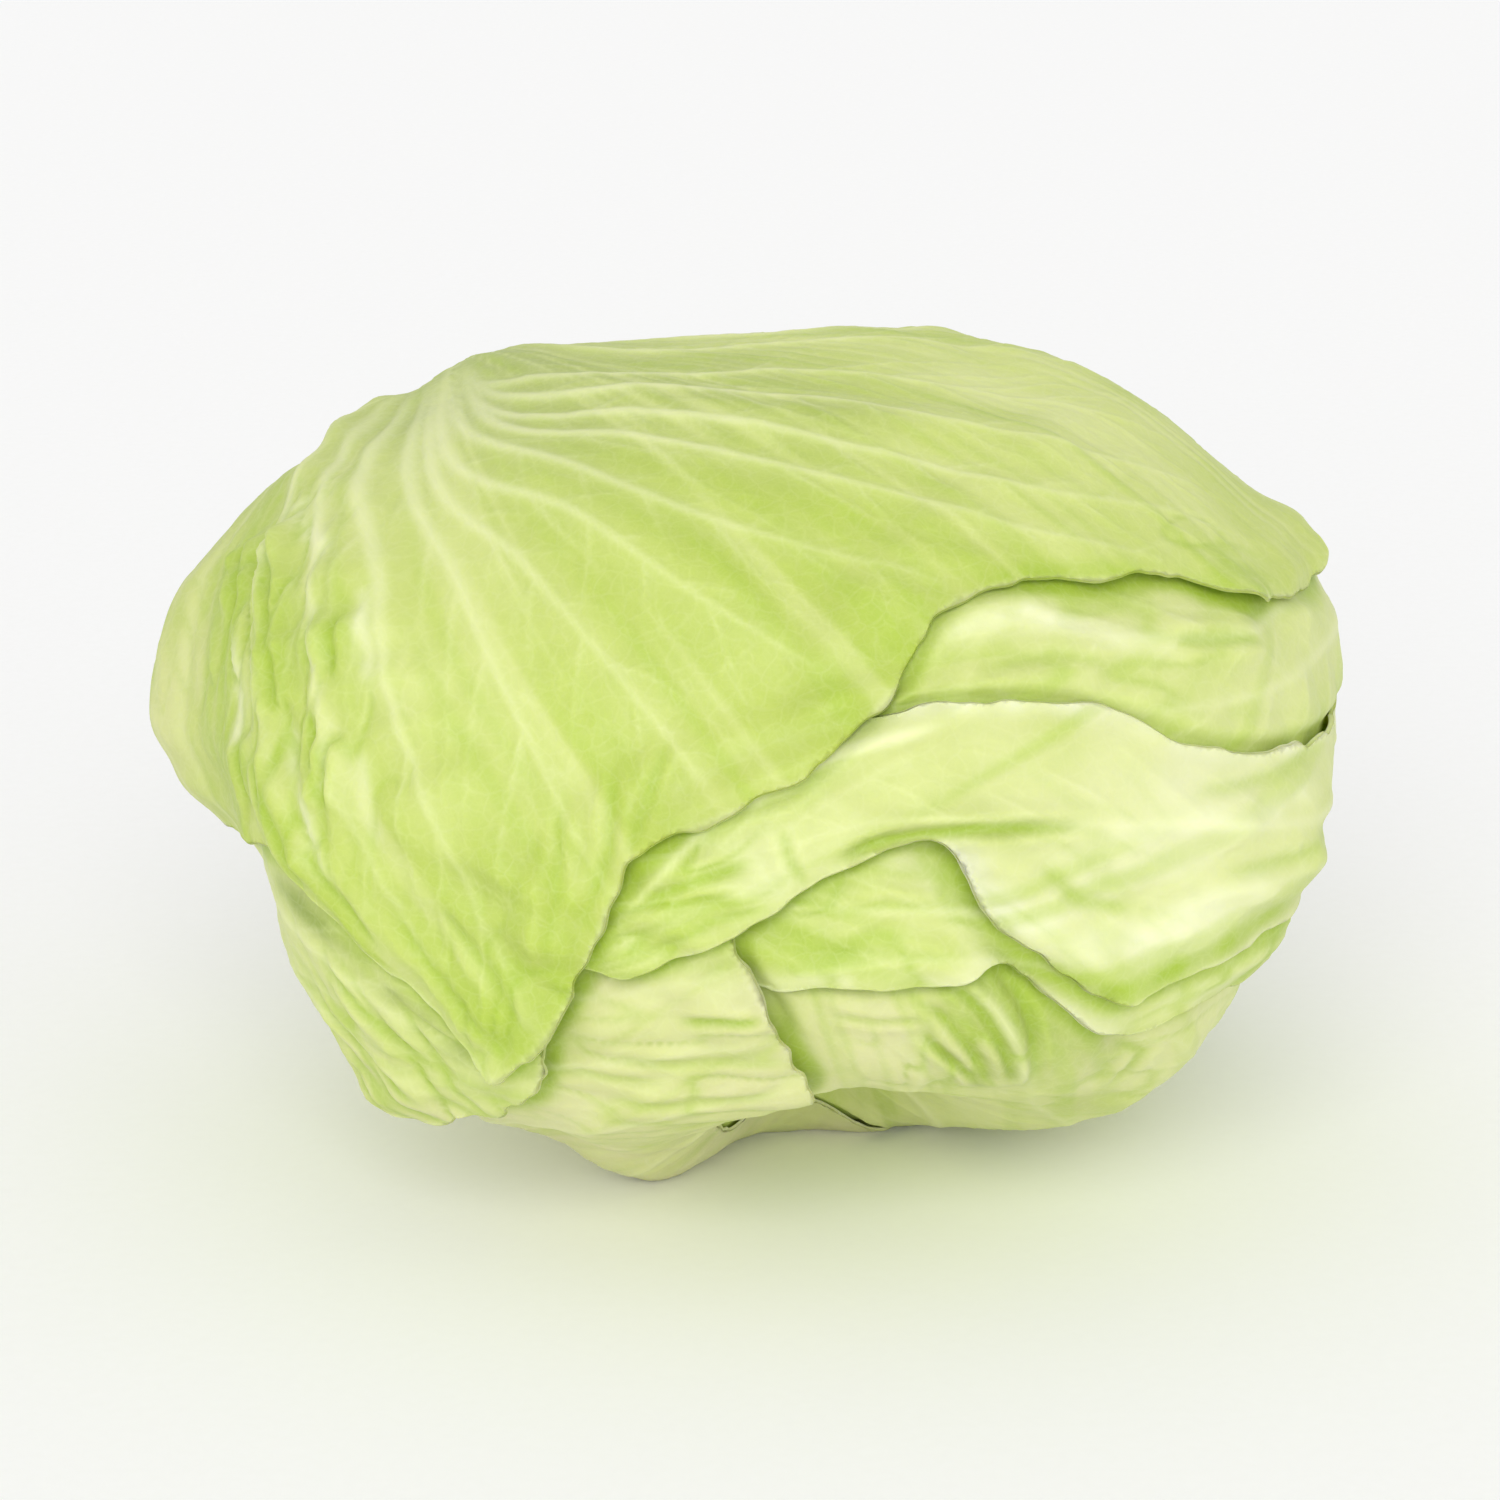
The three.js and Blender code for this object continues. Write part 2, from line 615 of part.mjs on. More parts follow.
// The origin is under the middle of the head's own box.
const box = new THREE.Box3().setFromObject(group);
const middle = box.getCenter(new THREE.Vector3());
group.children.forEach((mesh) => mesh.geometry.translate(-middle.x, -middle.y, 0));

export default group;
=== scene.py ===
import math

import bpy
import numpy as np
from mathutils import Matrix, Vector
from mathutils.geometry import delaunay_2d_cdt


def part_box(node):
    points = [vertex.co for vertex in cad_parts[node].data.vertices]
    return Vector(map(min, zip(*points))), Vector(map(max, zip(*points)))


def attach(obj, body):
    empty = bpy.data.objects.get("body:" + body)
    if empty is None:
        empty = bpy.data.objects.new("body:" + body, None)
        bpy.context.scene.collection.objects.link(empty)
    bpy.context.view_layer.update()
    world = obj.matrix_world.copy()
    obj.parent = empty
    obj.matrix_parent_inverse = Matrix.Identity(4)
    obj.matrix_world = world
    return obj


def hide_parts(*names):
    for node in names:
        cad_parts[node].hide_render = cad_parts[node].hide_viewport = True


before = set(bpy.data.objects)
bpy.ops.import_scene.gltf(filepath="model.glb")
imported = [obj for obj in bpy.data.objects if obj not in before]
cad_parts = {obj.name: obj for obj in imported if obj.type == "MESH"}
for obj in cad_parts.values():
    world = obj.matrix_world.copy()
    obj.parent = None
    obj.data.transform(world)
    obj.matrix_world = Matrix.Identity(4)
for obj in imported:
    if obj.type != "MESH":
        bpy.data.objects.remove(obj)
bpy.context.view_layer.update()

MM = 0.001
RAD = math.pi / 180

# The head's shape repeats the solids' own rule and sizes, in millimetres and
# degrees: see part.mjs. Finer meshes then carry veins, puckers and frills.
HALF_SIZES = np.array([101.6, 88.8, 72.6])
FULLNESS = 2.25
CENTRE_HEIGHT = 73
STEM_AT = (-163, 12)
STEM_REACH = 9.2
STEM_PROUD = 2.5
STEM_SEAT = 0.5
STEM_ROUNDING = 1.2
BLADE = 1.2
BLADE_EDGE = 0.7
EDGE_BAND = 9
RIB = 2.4
RIB_WIDTH = 9
AIR = 0.8
RIM_BAND = 16
RIM_CREST = (-2, 6)
DRAPE = 15
DRAPE_START = 2
BLEND = 0.6
REST_BITE = 0.4
NOMINAL_RADIUS = 92
MARGIN_STEPS = 6
GRID_CELL = 2 * RAD
GRID_HALF = 72

# ---- fineness ----
FINE_STEP = 1.05  # triangles where a leaf shows
HIDDEN_SHARE = 4  # how many times coarser it is where other leaves cover it
HIDDEN_DEPTH = 9  # mm under a covering leaf's margin
VEIN_CELL = 0.5  # mm, of the maps that veins are drawn on
STREAK_CELL = 1.5  # mm, of the maps of the pale streaks along ribs
MAP_REACH = 250  # mm, from a leaf's middle to a map's end


# ---- directions and small rules ----
def at(lon, lat):
    """Longitude 0 is the front (-Y), 90 the right (+X), 180 the back; latitude 90 is the top."""
    return np.array([
        math.sin(lon * RAD) * math.cos(lat * RAD),
        -math.cos(lon * RAD) * math.cos(lat * RAD),
        math.sin(lat * RAD),
    ])


def unit(v):
    return v / np.linalg.norm(v, axis=-1, keepdims=True)


def ease(x):
    t = np.clip(x, 0, 1)
    return t * t * (3 - 2 * t)


def hump(away, width):
    return np.exp(-((away / width) ** 2))


def angle(d, place):
    return np.degrees(np.arccos(np.clip(d @ place, -1, 1)))


def pairs(values):
    """Every two of the values, as the points of a square grid."""
    return np.stack(np.meshgrid(values, values, indexing="ij"), -1).reshape(-1, 2)


def even_triangles(half, step):
    """The rows, columns and points of a plane's even triangles, step apart."""
    i, j = pairs(np.arange(-half, half + 1)).T
    return i, j, np.stack([(i + (j % 2) / 2) * step, j * math.sqrt(0.75) * step], -1)


STEM = at(*STEM_AT)
STEM_UP = unit(np.array([0, 0, 1]) - STEM * STEM[2])
STEM_BACK = np.cross(STEM, STEM_UP)


def near(bearing, reach):
    """A place told from the stem: bearing 0 is up, 90 the back, 180 down, 270 the front."""
    side = STEM_UP * math.cos(bearing * RAD) + STEM_BACK * math.sin(bearing * RAD)
    return STEM * math.cos(reach * RAD) + side * math.sin(reach * RAD)


def places(path):
    return np.array([at(*p) for p in path])


# Swells and hollows of the whole head: longitude, latitude, height, angular width.
SWELLS = [
    (-92, 6, 13, 13), (-112, -22, -29, 34), (-84, -34, -12, 19), (-88, -14, -9, 9),
    (-68, -5, -5, 9), (-62, -52, -3, 13), (16, -50, -25, 21), (-26, -64, 6, 12), (62, -46, 3, 14),
    (81, -10, -13, 12), (92, 17, 4, 12), (108, 42, 3, 14), (135, 62, 3, 16), (-96, 24, 6, 11),
    (-112, 58, 3, 11), (-34, -40, -4, 7), (16, -67, -9.5, 11),
]

# ---- the leaves, innermost first ----
# base and margin go round the leaf: base as (bearing, reach) from the stem at both
# ends of the list, the rest as (longitude, latitude). rib starts at the stem.
LEAVES = [
    dict(
        name="leaf_underside", wave=0.8, middle=(95, -62),
        start=[(140, 11), (165, 10.4), (192, 11), (205, 22), (206, 45)],
        margin=[
            (-128, -55), (-100, -74), (-50, -70), (-33, -54), (-20, -34), (-12, -14), (2, -3),
            (22, 2), (45, 2), (65, -2), (90, -8), (120, -12), (150, -12),
        ],
        end=[(118, 40), (125, 22)],
        rib_base=(165, 10), rib=[(-165, -30), (120, -50)],
        folds=[
            ([(22, -7), (26, -13), (30, -22)], 2.6, 5),
            ([(33, -10), (36, -15), (38, -26)], 2.6, 6),
            ([(48, -16), (54, -22), (57, -34)], 2.0, 7),
        ],
    ),
    dict(
        name="leaf_right_lower", wave=1.0, middle=(72, 0),
        start=[(102, 11), (126, 10.4), (150, 11), (158, 24)],
        margin=[
            (-178, -30), (150, -36), (120, -35), (92, -28), (74, -17), (58, -13.5), (48, -14),
            (42, -15), (37, -14.5), (32, -11.5), (28, -8), (24, -5.5), (20, -7), (15, -8),
            (8, -7.5), (0, -7), (-8, -4), (-10, 4), (0, 12), (20, 18), (50, 22), (85, 20),
            (120, 16), (150, 14),
        ],
        end=[(88, 34), (92, 20)],
        rib_base=(126, 10), rib=[(170, -12), (110, -12)],
        folds=[([(28, -4), (38, -9), (50, -8), (64, -9)], 1.5, 7)],
        curls=[((41, -14), 2.2, 9), ((11, -9), 1.6, 9)],
    ),
    dict(
        name="leaf_bottom_left", wave=1.2, middle=(-60, -42),
        start=[(186, 11), (212, 10.4), (238, 11), (243, 25), (250, 48)],
        margin=[
            (-82, 3), (-55, 5), (-30, 7), (-12, 5), (-3, 1), (-1, -5), (2, -10), (4, -16),
            (7, -23), (4, -33), (-3, -44), (-10, -54), (-9, -64), (10, -72), (50, -72), (82, -69),
            (145, -66), (-170, -58),
        ],
        end=[(184, 36), (178, 20)],
        rib_base=(212, 10), rib=[(-120, -35), (-60, -52)],
        folds=[
            ([(-18, -12), (-8, -10), (2, -11)], 2.2, 6),
            ([(-22, -28), (-8, -26), (6, -24)], 1.4, 7),
        ],
        curls=[((4, -17), 2.4, 9)],
    ),
    dict(
        name="leaf_lower_left", wave=2.0, toothed=1.9, middle=(-80, 0),
        start=[(244, 11), (268, 10.4), (296, 11), (305, 22), (306, 38)],
        margin=[
            (-88, 36), (-62, 30), (-42, 18), (-30, 7), (-23, -4), (-23, -16), (-27, -24),
            (-36, -28), (-44, -30), (-52, -30), (-68, -33), (-92, -32), (-112, -26),
        ],
        end=[(230, 34), (234, 20)],
        rib_base=(268, 10), rib=[(-96, 8), (-62, -6)],
        curls=[((-48, -31), 5.2, 9), ((-28, -24), 1.2, 8)],
    ),
    dict(
        name="leaf_right_upper", wave=0.8, middle=(105, 28),
        start=[(34, 11), (56, 10.4), (80, 11), (85, 25), (84, 46)],
        margin=[
            (128, 2), (95, -3), (62, -1), (36, 5), (18, 12), (10, 20), (12, 30), (28, 40),
            (55, 46), (95, 50), (140, 54), (172, 50),
        ],
        end=[(22, 26)],
        rib_base=(56, 10), rib=[(170, 36), (105, 28)],
        folds=[([(27, 30), (33, 30), (39, 27), (46, 24), (62, 19)], 1.2, 6)],
    ),
    dict(
        name="leaf_right", wave=0.6, middle=(90, 2),
        start=[(74, 11), (96, 10.4), (120, 11), (126, 24), (126, 48)],
        margin=[
            (150, -20), (120, -20), (92, -14), (75, -8), (60, -7.5), (47, -8.5), (41, -9.5),
            (37, -10.5), (32, -8), (27, -4.5), (23, 0), (20.5, 4.5), (18, 8.5), (10, 6.5),
            (-1, 0), (-8, -3), (-14, -6), (-19, -5), (-20, 3), (-14, 11), (-5, 17), (6, 20.5),
            (13, 22), (20, 22.5), (27, 22), (34, 20.5), (40, 18), (45, 15), (51, 12.5),
            (58, 10.5), (67, 9), (79, 7.5), (93, 7), (107, 9), (123, 15), (140, 22), (157, 27),
        ],
        end=[(56, 24)],
        rib_base=(96, 10), rib=[(175, 6), (110, 2), (70, 4)],
        folds=[
            ([(20, 10), (22, 6), (26, 1), (33, -4), (39, -4), (62, -2)], 2.2, 5),
            ([(17, 11), (26, 11), (38, 9), (50, 6)], 1.4, 5),
            ([(52, 4), (66, 5), (84, 4)], 1.2, 7),
        ],
        curls=[
            ((37, -11), 1.6, 8), ((22, 5), 1.2, 6), ((4, 3), 1.6, 9), ((-12, -5), 1.6, 7),
        ],
    ),
    dict(
        name="leaf_cover", wave=0.6, middle=(-62, 66),
        start=[(318, 11), (344, 10.4), (20, 11), (32, 22), (36, 36)],
        margin=[
            (142, 38), (118, 29), (102, 22), (92, 19.5), (83, 19), (76, 20.5), (70, 22), (65, 23),
            (61, 25), (57, 28), (51, 30), (46, 30.5), (41, 32), (35, 33), (29, 33), (23, 31.5),
            (18, 26), (11, 20), (5, 15), (-2, 12), (-10, 8), (-14, 3), (-17, -4), (-20, -10),
            (-24, -15), (-28, -18), (-36, -10), (-44, -5), (-51, 0), (-58, 0), (-66, -3),
            (-77, -4), (-90, -2), (-104, 5), (-120, 13),
        ],
        end=[(300, 24), (306, 16)],
        rib_base=(344, 10), rib=[(-122, 46), (-86, 62)],
        folds=[
            ([(-116, 48), (-80, 62), (0, 66), (60, 50)], 2.0, 8),
            ([(-112, 46), (-66, 50), (-20, 42), (8, 28)], 1.5, 7),
            ([(-108, 42), (-68, 38), (-38, 20), (-22, 0)], 1.8, 8),
            ([(-104, 40), (-76, 31), (-60, 18), (-53, 7), (-48, -1)], 2.2, 5),
            ([(-62, 32), (-50, 20), (-44, 6), (-38, -5)], 1.4, 5),
            ([(-89, 16), (-84, 7), (-80, 0)], 3.6, 8),
        ],
        curls=[
            ((97, 20), 3.0, 8), ((63, 24), 1.7, 5), ((46, 31), 1.4, 5), ((8, 17), 0.8, 7),
            ((-12, 6), 1.2, 7), ((-26, -17), 1.6, 6),
        ],
    ),
]


# ---- the surface of the heart ----
def heart_radius(d):
    radius = ((np.abs(d) / HALF_SIZES) ** FULLNESS).sum(-1) ** (-1 / FULLNESS)
    for lon, lat, height, width in SWELLS:
        radius = radius + height * hump(np.linalg.norm(d - at(lon, lat), axis=-1), width * RAD)
    return radius


def floor_radius(d):
    """Distance from the head's middle to the floor, in directions that meet it."""
    down = np.minimum(d[:, 2], -0.05)
    return np.where(d[:, 2] < -0.05, CENTRE_HEIGHT / -down, np.inf)


def heart_surface(d, top):
    return np.minimum(heart_radius(d), floor_radius(d) - top + REST_BITE)


def place_at(d, radius):
    """Points in millimetres, in the head's own unshifted frame, kept over the floor."""
    p = d * np.minimum(radius, floor_radius(d))[:, None]
    p[:, 2] = np.maximum(p[:, 2] + CENTRE_HEIGHT, 0)
    return p


# ---- a leaf's own plane ----
def to_plane(leaf, d):
    """Directions unrolled round the leaf's middle, in radians."""
    reach = np.arccos(np.clip(d @ leaf["middle"], -1, 1))
    flat = np.stack([d @ leaf["along"], d @ leaf["across"]], -1)
    return flat * (reach / np.maximum(np.linalg.norm(flat, axis=-1), 1e-9))[:, None]


def from_plane(leaf, p):
    reach = np.linalg.norm(p, axis=-1)
    k = np.sinc(reach / math.pi)[:, None]
    side = leaf["along"] * p[:, :1] + leaf["across"] * p[:, 1:]
    return unit(leaf["middle"] * np.cos(reach)[:, None] + side * k)


def smooth_loop(points):
    """A closed smooth curve through points, with even slopes by length."""
    after = np.roll(points, -1, 0) - points
    span = np.linalg.norm(after, axis=1)[:, None]
    before, span_before = np.roll(after, 1, 0), np.roll(span, 1, 0)
    slope = (after / span * span_before + before / span_before * span) / (span + span_before)
    t = (np.arange(MARGIN_STEPS) / MARGIN_STEPS)[None, :, None]
    u = 1 - t
    a, b = points[:, None], np.roll(points, -1, 0)[:, None]
    sa, sb = slope[:, None], np.roll(slope, -1, 0)[:, None]
    curve = u * u * (1 + 2 * t) * a + t * t * (1 + 2 * u) * b
    return (curve + span[:, None] * t * u * (u * sa - t * sb)).reshape(-1, 2)


def cut(line, lengths):
    """Points along a polyline, at the distances that lengths makes of its whole length."""
    walked = np.concatenate([[0], np.cumsum(np.linalg.norm(np.diff(line, axis=0), axis=1))])
    s = lengths(walked[-1])
    return np.stack([np.interp(s, walked, line[:, k]) for k in (0, 1)], -1)


def evenly(loop, step):
    """Points about step apart along a closed polyline."""
    def lengths(total):
        count = round(total / step)
        return np.arange(count) * total / count

    return cut(np.vstack([loop, loop[:1]]), lengths)


def distance_to_loop(loop, points):
    """Distance from a closed polyline, negative inside it."""
    nearest = np.full(len(points), np.inf)
    inside = np.zeros(len(points), bool)
    x, y = points[:, 0], points[:, 1]
    for a, b in zip(loop, np.roll(loop, -1, 0)):
        e = b - a
        t = np.clip(((points - a) @ e) / (e @ e), 0, 1)
        nearest = np.minimum(nearest, np.hypot(x - a[0] - t * e[0], y - a[1] - t * e[1]))
        if e[1]:
            level = (a[1] > y) != (b[1] > y)
            inside ^= level & (x < a[0] + (y - a[1]) / e[1] * e[0])
    return np.where(inside, -nearest, nearest)


def read_grid(grid, x, y, outside):
    """Bilinear value of a square grid at fractional rows x and columns y."""
    i, j = np.floor(x).astype(int), np.floor(y).astype(int)
    good = (i >= 0) & (j >= 0) & (i < grid.shape[0] - 1) & (j < grid.shape[1] - 1)
    i, j = np.where(good, i, 0), np.where(good, j, 0)
    s, t = x - i, y - j
    low = grid[i, j] * (1 - t) + grid[i, j + 1] * t
    high = grid[i + 1, j] * (1 - t) + grid[i + 1, j + 1] * t
    return np.where(good, low * (1 - s) + high * s, outside)


def prepare(leaf):
    leaf["middle"] = at(*leaf["middle"])
    leaf["along"] = unit(STEM - leaf["middle"] * (STEM @ leaf["middle"]))
    leaf["across"] = np.cross(leaf["middle"], leaf["along"])
    base = [near(*p) for p in leaf["start"]]
    tail = [near(*p) for p in leaf["end"]]
    margin = np.array(base + [at(*p) for p in leaf["margin"]] + tail)
    leaf["loop"] = smooth_loop(to_plane(leaf, margin))
    leaf["rib"] = np.array([near(*leaf["rib_base"])] + [at(*p) for p in leaf["rib"]])
    cells = np.arange(-GRID_HALF, GRID_HALF + 1) * GRID_CELL
    leaf["grid"] = distance_to_loop(leaf["loop"], pairs(cells)).reshape(len(cells), -1)


def past_in_plane(leaf, p):
    """Distance in mm past the leaf's margin, negative on the leaf."""
    x, y = (p / GRID_CELL + GRID_HALF).T
    return NOMINAL_RADIUS * read_grid(leaf["grid"], x, y, np.inf)


def past(leaf, d):
    return past_in_plane(leaf, to_plane(leaf, d))


def from_path(path, d):
    """Distance in mm from a path of places, and how far along it, 0 to 1."""
    nearest = np.full(len(d), np.inf)
    where = np.zeros(len(d))
    for i, (a, b) in enumerate(zip(path, path[1:])):
        step = b - a
        t = np.clip((d - a) @ step / (step @ step), 0, 1)
        away = np.linalg.norm(d - unit(a + t[:, None] * step), axis=1)
        closer = away < nearest
        nearest = np.where(closer, away, nearest)
        where = np.where(closer, (i + t) / (len(path) - 1), where)
    return nearest * NOMINAL_RADIUS, where


# ---- how the leaves stack over the heart ----
def ripple(d):
    across = np.sin(23 * d[:, 0] + 5 * np.sin(9 * d[:, 2]) + 1)
    down = np.sin(21 * d[:, 2] + 17 * d[:, 1] + 3)
    return 0.5 + 0.5 * across * down


def rim_share(beyond):
    rise = ease(1 + (beyond - RIM_CREST[0]) / RIM_BAND)
    return rise * ease(1 - (beyond - RIM_CREST[1]) / RIM_BAND)


def lift(leaf, d, beyond):
    rim = rim_share(beyond)
    height = leaf["wave"] * rim * ripple(d)
    for path, rise, width in leaf.get("folds", []):
        height = height + rise * hump(from_path(places(path), d)[0], width)
    for place, rise, width in leaf.get("curls", []):
        height = height + rise * rim * hump(angle(d, at(*place)), width)
    return height


def thickness(leaf, d, beyond):
    within = ease(-beyond / EDGE_BAND)
    away, where = from_path(leaf["rib"], d)
    rib = RIB * (1 - where) * hump(away, RIB_WIDTH)
    return BLADE_EDGE + (BLADE - BLADE_EDGE + rib) * within


def stack(d):
    """Heights over the heart of each leaf's faces and of all, and how far past each margin."""
    top = np.zeros(len(d))
    faces, beyonds = [], []
    for leaf in LEAVES:
        beyond = past(leaf, d)
        inner = top + AIR + lift(leaf, d, beyond)
        outer = inner + thickness(leaf, d, beyond)
        hold = 1 - ease((beyond - DRAPE_START) / DRAPE)
        held = hold * outer
        gap = np.maximum(BLEND - np.abs(top - held), 0)
        top = np.maximum(top, held) + gap**2 / (4 * BLEND)
        faces.append((inner, outer))
        beyonds.append(beyond)
    return faces, top, beyonds


# ---- fine relief ----
NOISE_CELLS = 32
LATTICE = np.random.default_rng(11).uniform(-1, 1, (NOISE_CELLS,) * 3)


def noise(p, size, shift=0):
    """Smooth noise from -1 to 1 at points in mm, with bumps about size mm across."""
    q = p / size + shift
    i = np.floor(q).astype(int)
    f = q - i
    f = f * f * (3 - 2 * f)
    total = 0
    for corner in np.ndindex(2, 2, 2):
        share = np.prod(np.where(corner, f, 1 - f), axis=-1)
        x, y, z = ((i + corner) % NOISE_CELLS).T
        total = total + share * LATTICE[x, y, z]
    return total


def noises(layers, p, k=0):
    """Layers of noise, each told by its height, the size of its bumps and its shift."""
    return sum(height * noise(p, size, k + shift) for height, size, shift in layers)


def fading(where, rate, start=0):
    """1 along most of a path, less towards its two ends."""
    return ease(where * rate + start) * ease((1 - where) * rate + start)


LINE_REACH = 2.2  # how many widths from its line a ridge is drawn
LINE_THERE = 0.1  # mm, the rise that counts as another vein


class LineMap:
    """Soft ridges drawn along lines of a leaf's own plane."""

    def __init__(self, cell):
        self.cell = cell
        self.half = round(MAP_REACH / cell)
        self.height = np.zeros((2 * self.half + 1,) * 2, np.float32)

    def draw(self, line, widths, heights):
        """Raises a ridge along a line of points in mm."""
        reach = math.ceil(LINE_REACH * widths.max() / self.cell)
        window = pairs(np.arange(-reach, reach + 1))
        cell = np.round(line / self.cell).astype(int)[:, None] + window
        away = np.linalg.norm(cell * self.cell - line[:, None], axis=-1)
        value = heights[:, None] * hump(away, widths[:, None])
        index = np.clip(cell + self.half, 0, 2 * self.half)
        np.maximum.at(self.height, (index[..., 0], index[..., 1]), value)

    def read(self, p):
        x, y = (p / self.cell + self.half).T
        return read_grid(self.height, x, y, 0)

    def meets(self, p):
        i, j = (round(v / self.cell) + self.half for v in p)
        inside = 0 < min(i, j) and max(i, j) < 2 * self.half
        return not inside or self.height[i, j] > LINE_THERE


VEIN_STEP = 0.8  # mm
CURVE_STEPS = 12


def along_line(points):
    """A polyline of mm points cut to even steps of VEIN_STEP."""
    return cut(points, lambda total: np.arange(0, total, VEIN_STEP))


def curve_through(points):
    """An open smooth curve through points of a plane."""
    if len(points) < 3:
        return along_line(points)
    out = []
    ends = np.vstack([2 * points[0] - points[1], points, 2 * points[-1] - points[-2]])
    t = np.linspace(0, 1, CURVE_STEPS, endpoint=False)[:, None]
    for a, b, c, e in zip(ends, ends[1:], ends[2:], ends[3:]):
        out.append(
            b + 0.5 * t * (c - a + t * (2 * a - 5 * b + 4 * c - e + t * (3 * (b - c) + e - a)))
        )
    return along_line(np.vstack(out + [points[-1:]]))


# spacing of side veins along a vein of each level, their length, width and rise, in mm
VEIN_LEVELS = [(15, 70, 1.5, 0.4), (10, 30, 1.15, 0.26), (8, 14, 0.9, 0.15)]
VEIN_BRANCH = (28, 50)  # degrees between a side vein and its own vein
VEIN_BEND = (0.002, 0.010)  # radians per mm, towards the vein's end
VEIN_WANDER = 0.035  # radians per mm
VEIN_CLEAR = 2.5  # mm between a vein's end and the margin
VEIN_LEAST = 6  # steps


def wander(leaf, veins, start, heading, length, bend, rng):
    """A side vein's line, until it meets another vein or the margin."""
    line = [start]
    for i in range(int(length / VEIN_STEP)):
        heading += (bend + rng.normal(0, VEIN_WANDER)) * VEIN_STEP
        p = line[-1] + VEIN_STEP * np.array([math.cos(heading), math.sin(heading)])
        if past_in_plane(leaf, p[None] / NOMINAL_RADIUS)[0] > -VEIN_CLEAR:
            break
        line.append(p)
        if i > VEIN_LEAST and veins.meets(p):
            break
    return np.array(line)


def side_veins(leaf, veins, line, width, level, rng):
    spacing, length, most, rise = VEIN_LEVELS[level]
    made = []
    side = rng.choice([-1, 1])
    for s in np.arange(spacing * rng.uniform(0.3, 1), len(line) * VEIN_STEP, spacing / 2):
        i = int(s / VEIN_STEP)
        if i + 2 >= len(line):
            break
        side = -side
        ahead = line[i + 2] - line[i]
        heading = math.atan2(ahead[1], ahead[0]) + side * rng.uniform(*VEIN_BRANCH) * RAD
        bend = -side * rng.uniform(*VEIN_BEND)
        child = wander(leaf, veins, line[i], heading, length * rng.uniform(0.6, 1.2), bend, rng)
        if len(child) < VEIN_LEAST:
            continue
        taper = np.linspace(1, 0.45, len(child))
        made.append((child, taper * min(most, width[i] * 0.7), taper * rise))
    for child, widths, heights in made:
        veins.draw(child, widths, heights)
    if level + 1 < len(VEIN_LEVELS):
        for child, widths, _ in made:
            side_veins(leaf, veins, child, widths, level + 1, rng)


MIDRIB = (4.0, 1.2)  # width and rise in mm
SIDE_RIB = (2.1, 0.9)
STREAK = 5.5  # mm, width of the pale streak along a rib
FIRST_SEED = 40


def grow_veins(leaf):
    veins, streaks = LineMap(VEIN_CELL), LineMap(STREAK_CELL)
    rng = np.random.default_rng(FIRST_SEED + leaf["order"])
    paths = [(leaf["rib"], MIDRIB)] + [(places(path), SIDE_RIB) for path in leaf["ribs"]]
    mains = [(curve_through(to_plane(leaf, path) * NOMINAL_RADIUS), size) for path, size in paths]
    for line, (width, rise) in mains:
        along = np.linspace(0, 1, len(line))
        swell = ease(along * 5 + 0.3)  # it rises over a rib's first part
        veins.draw(line, (1 - 0.55 * along) * width, (1 - 0.7 * along) * rise * swell)
        streaks.draw(line, np.full(len(line), STREAK), (1 - 0.8 * along) * swell)
    for line, (width, _) in mains:
        side_veins(leaf, veins, line, np.linspace(1, 0.4, len(line)) * width, 0, rng)
    leaf["veins"], leaf["streaks"] = veins, streaks


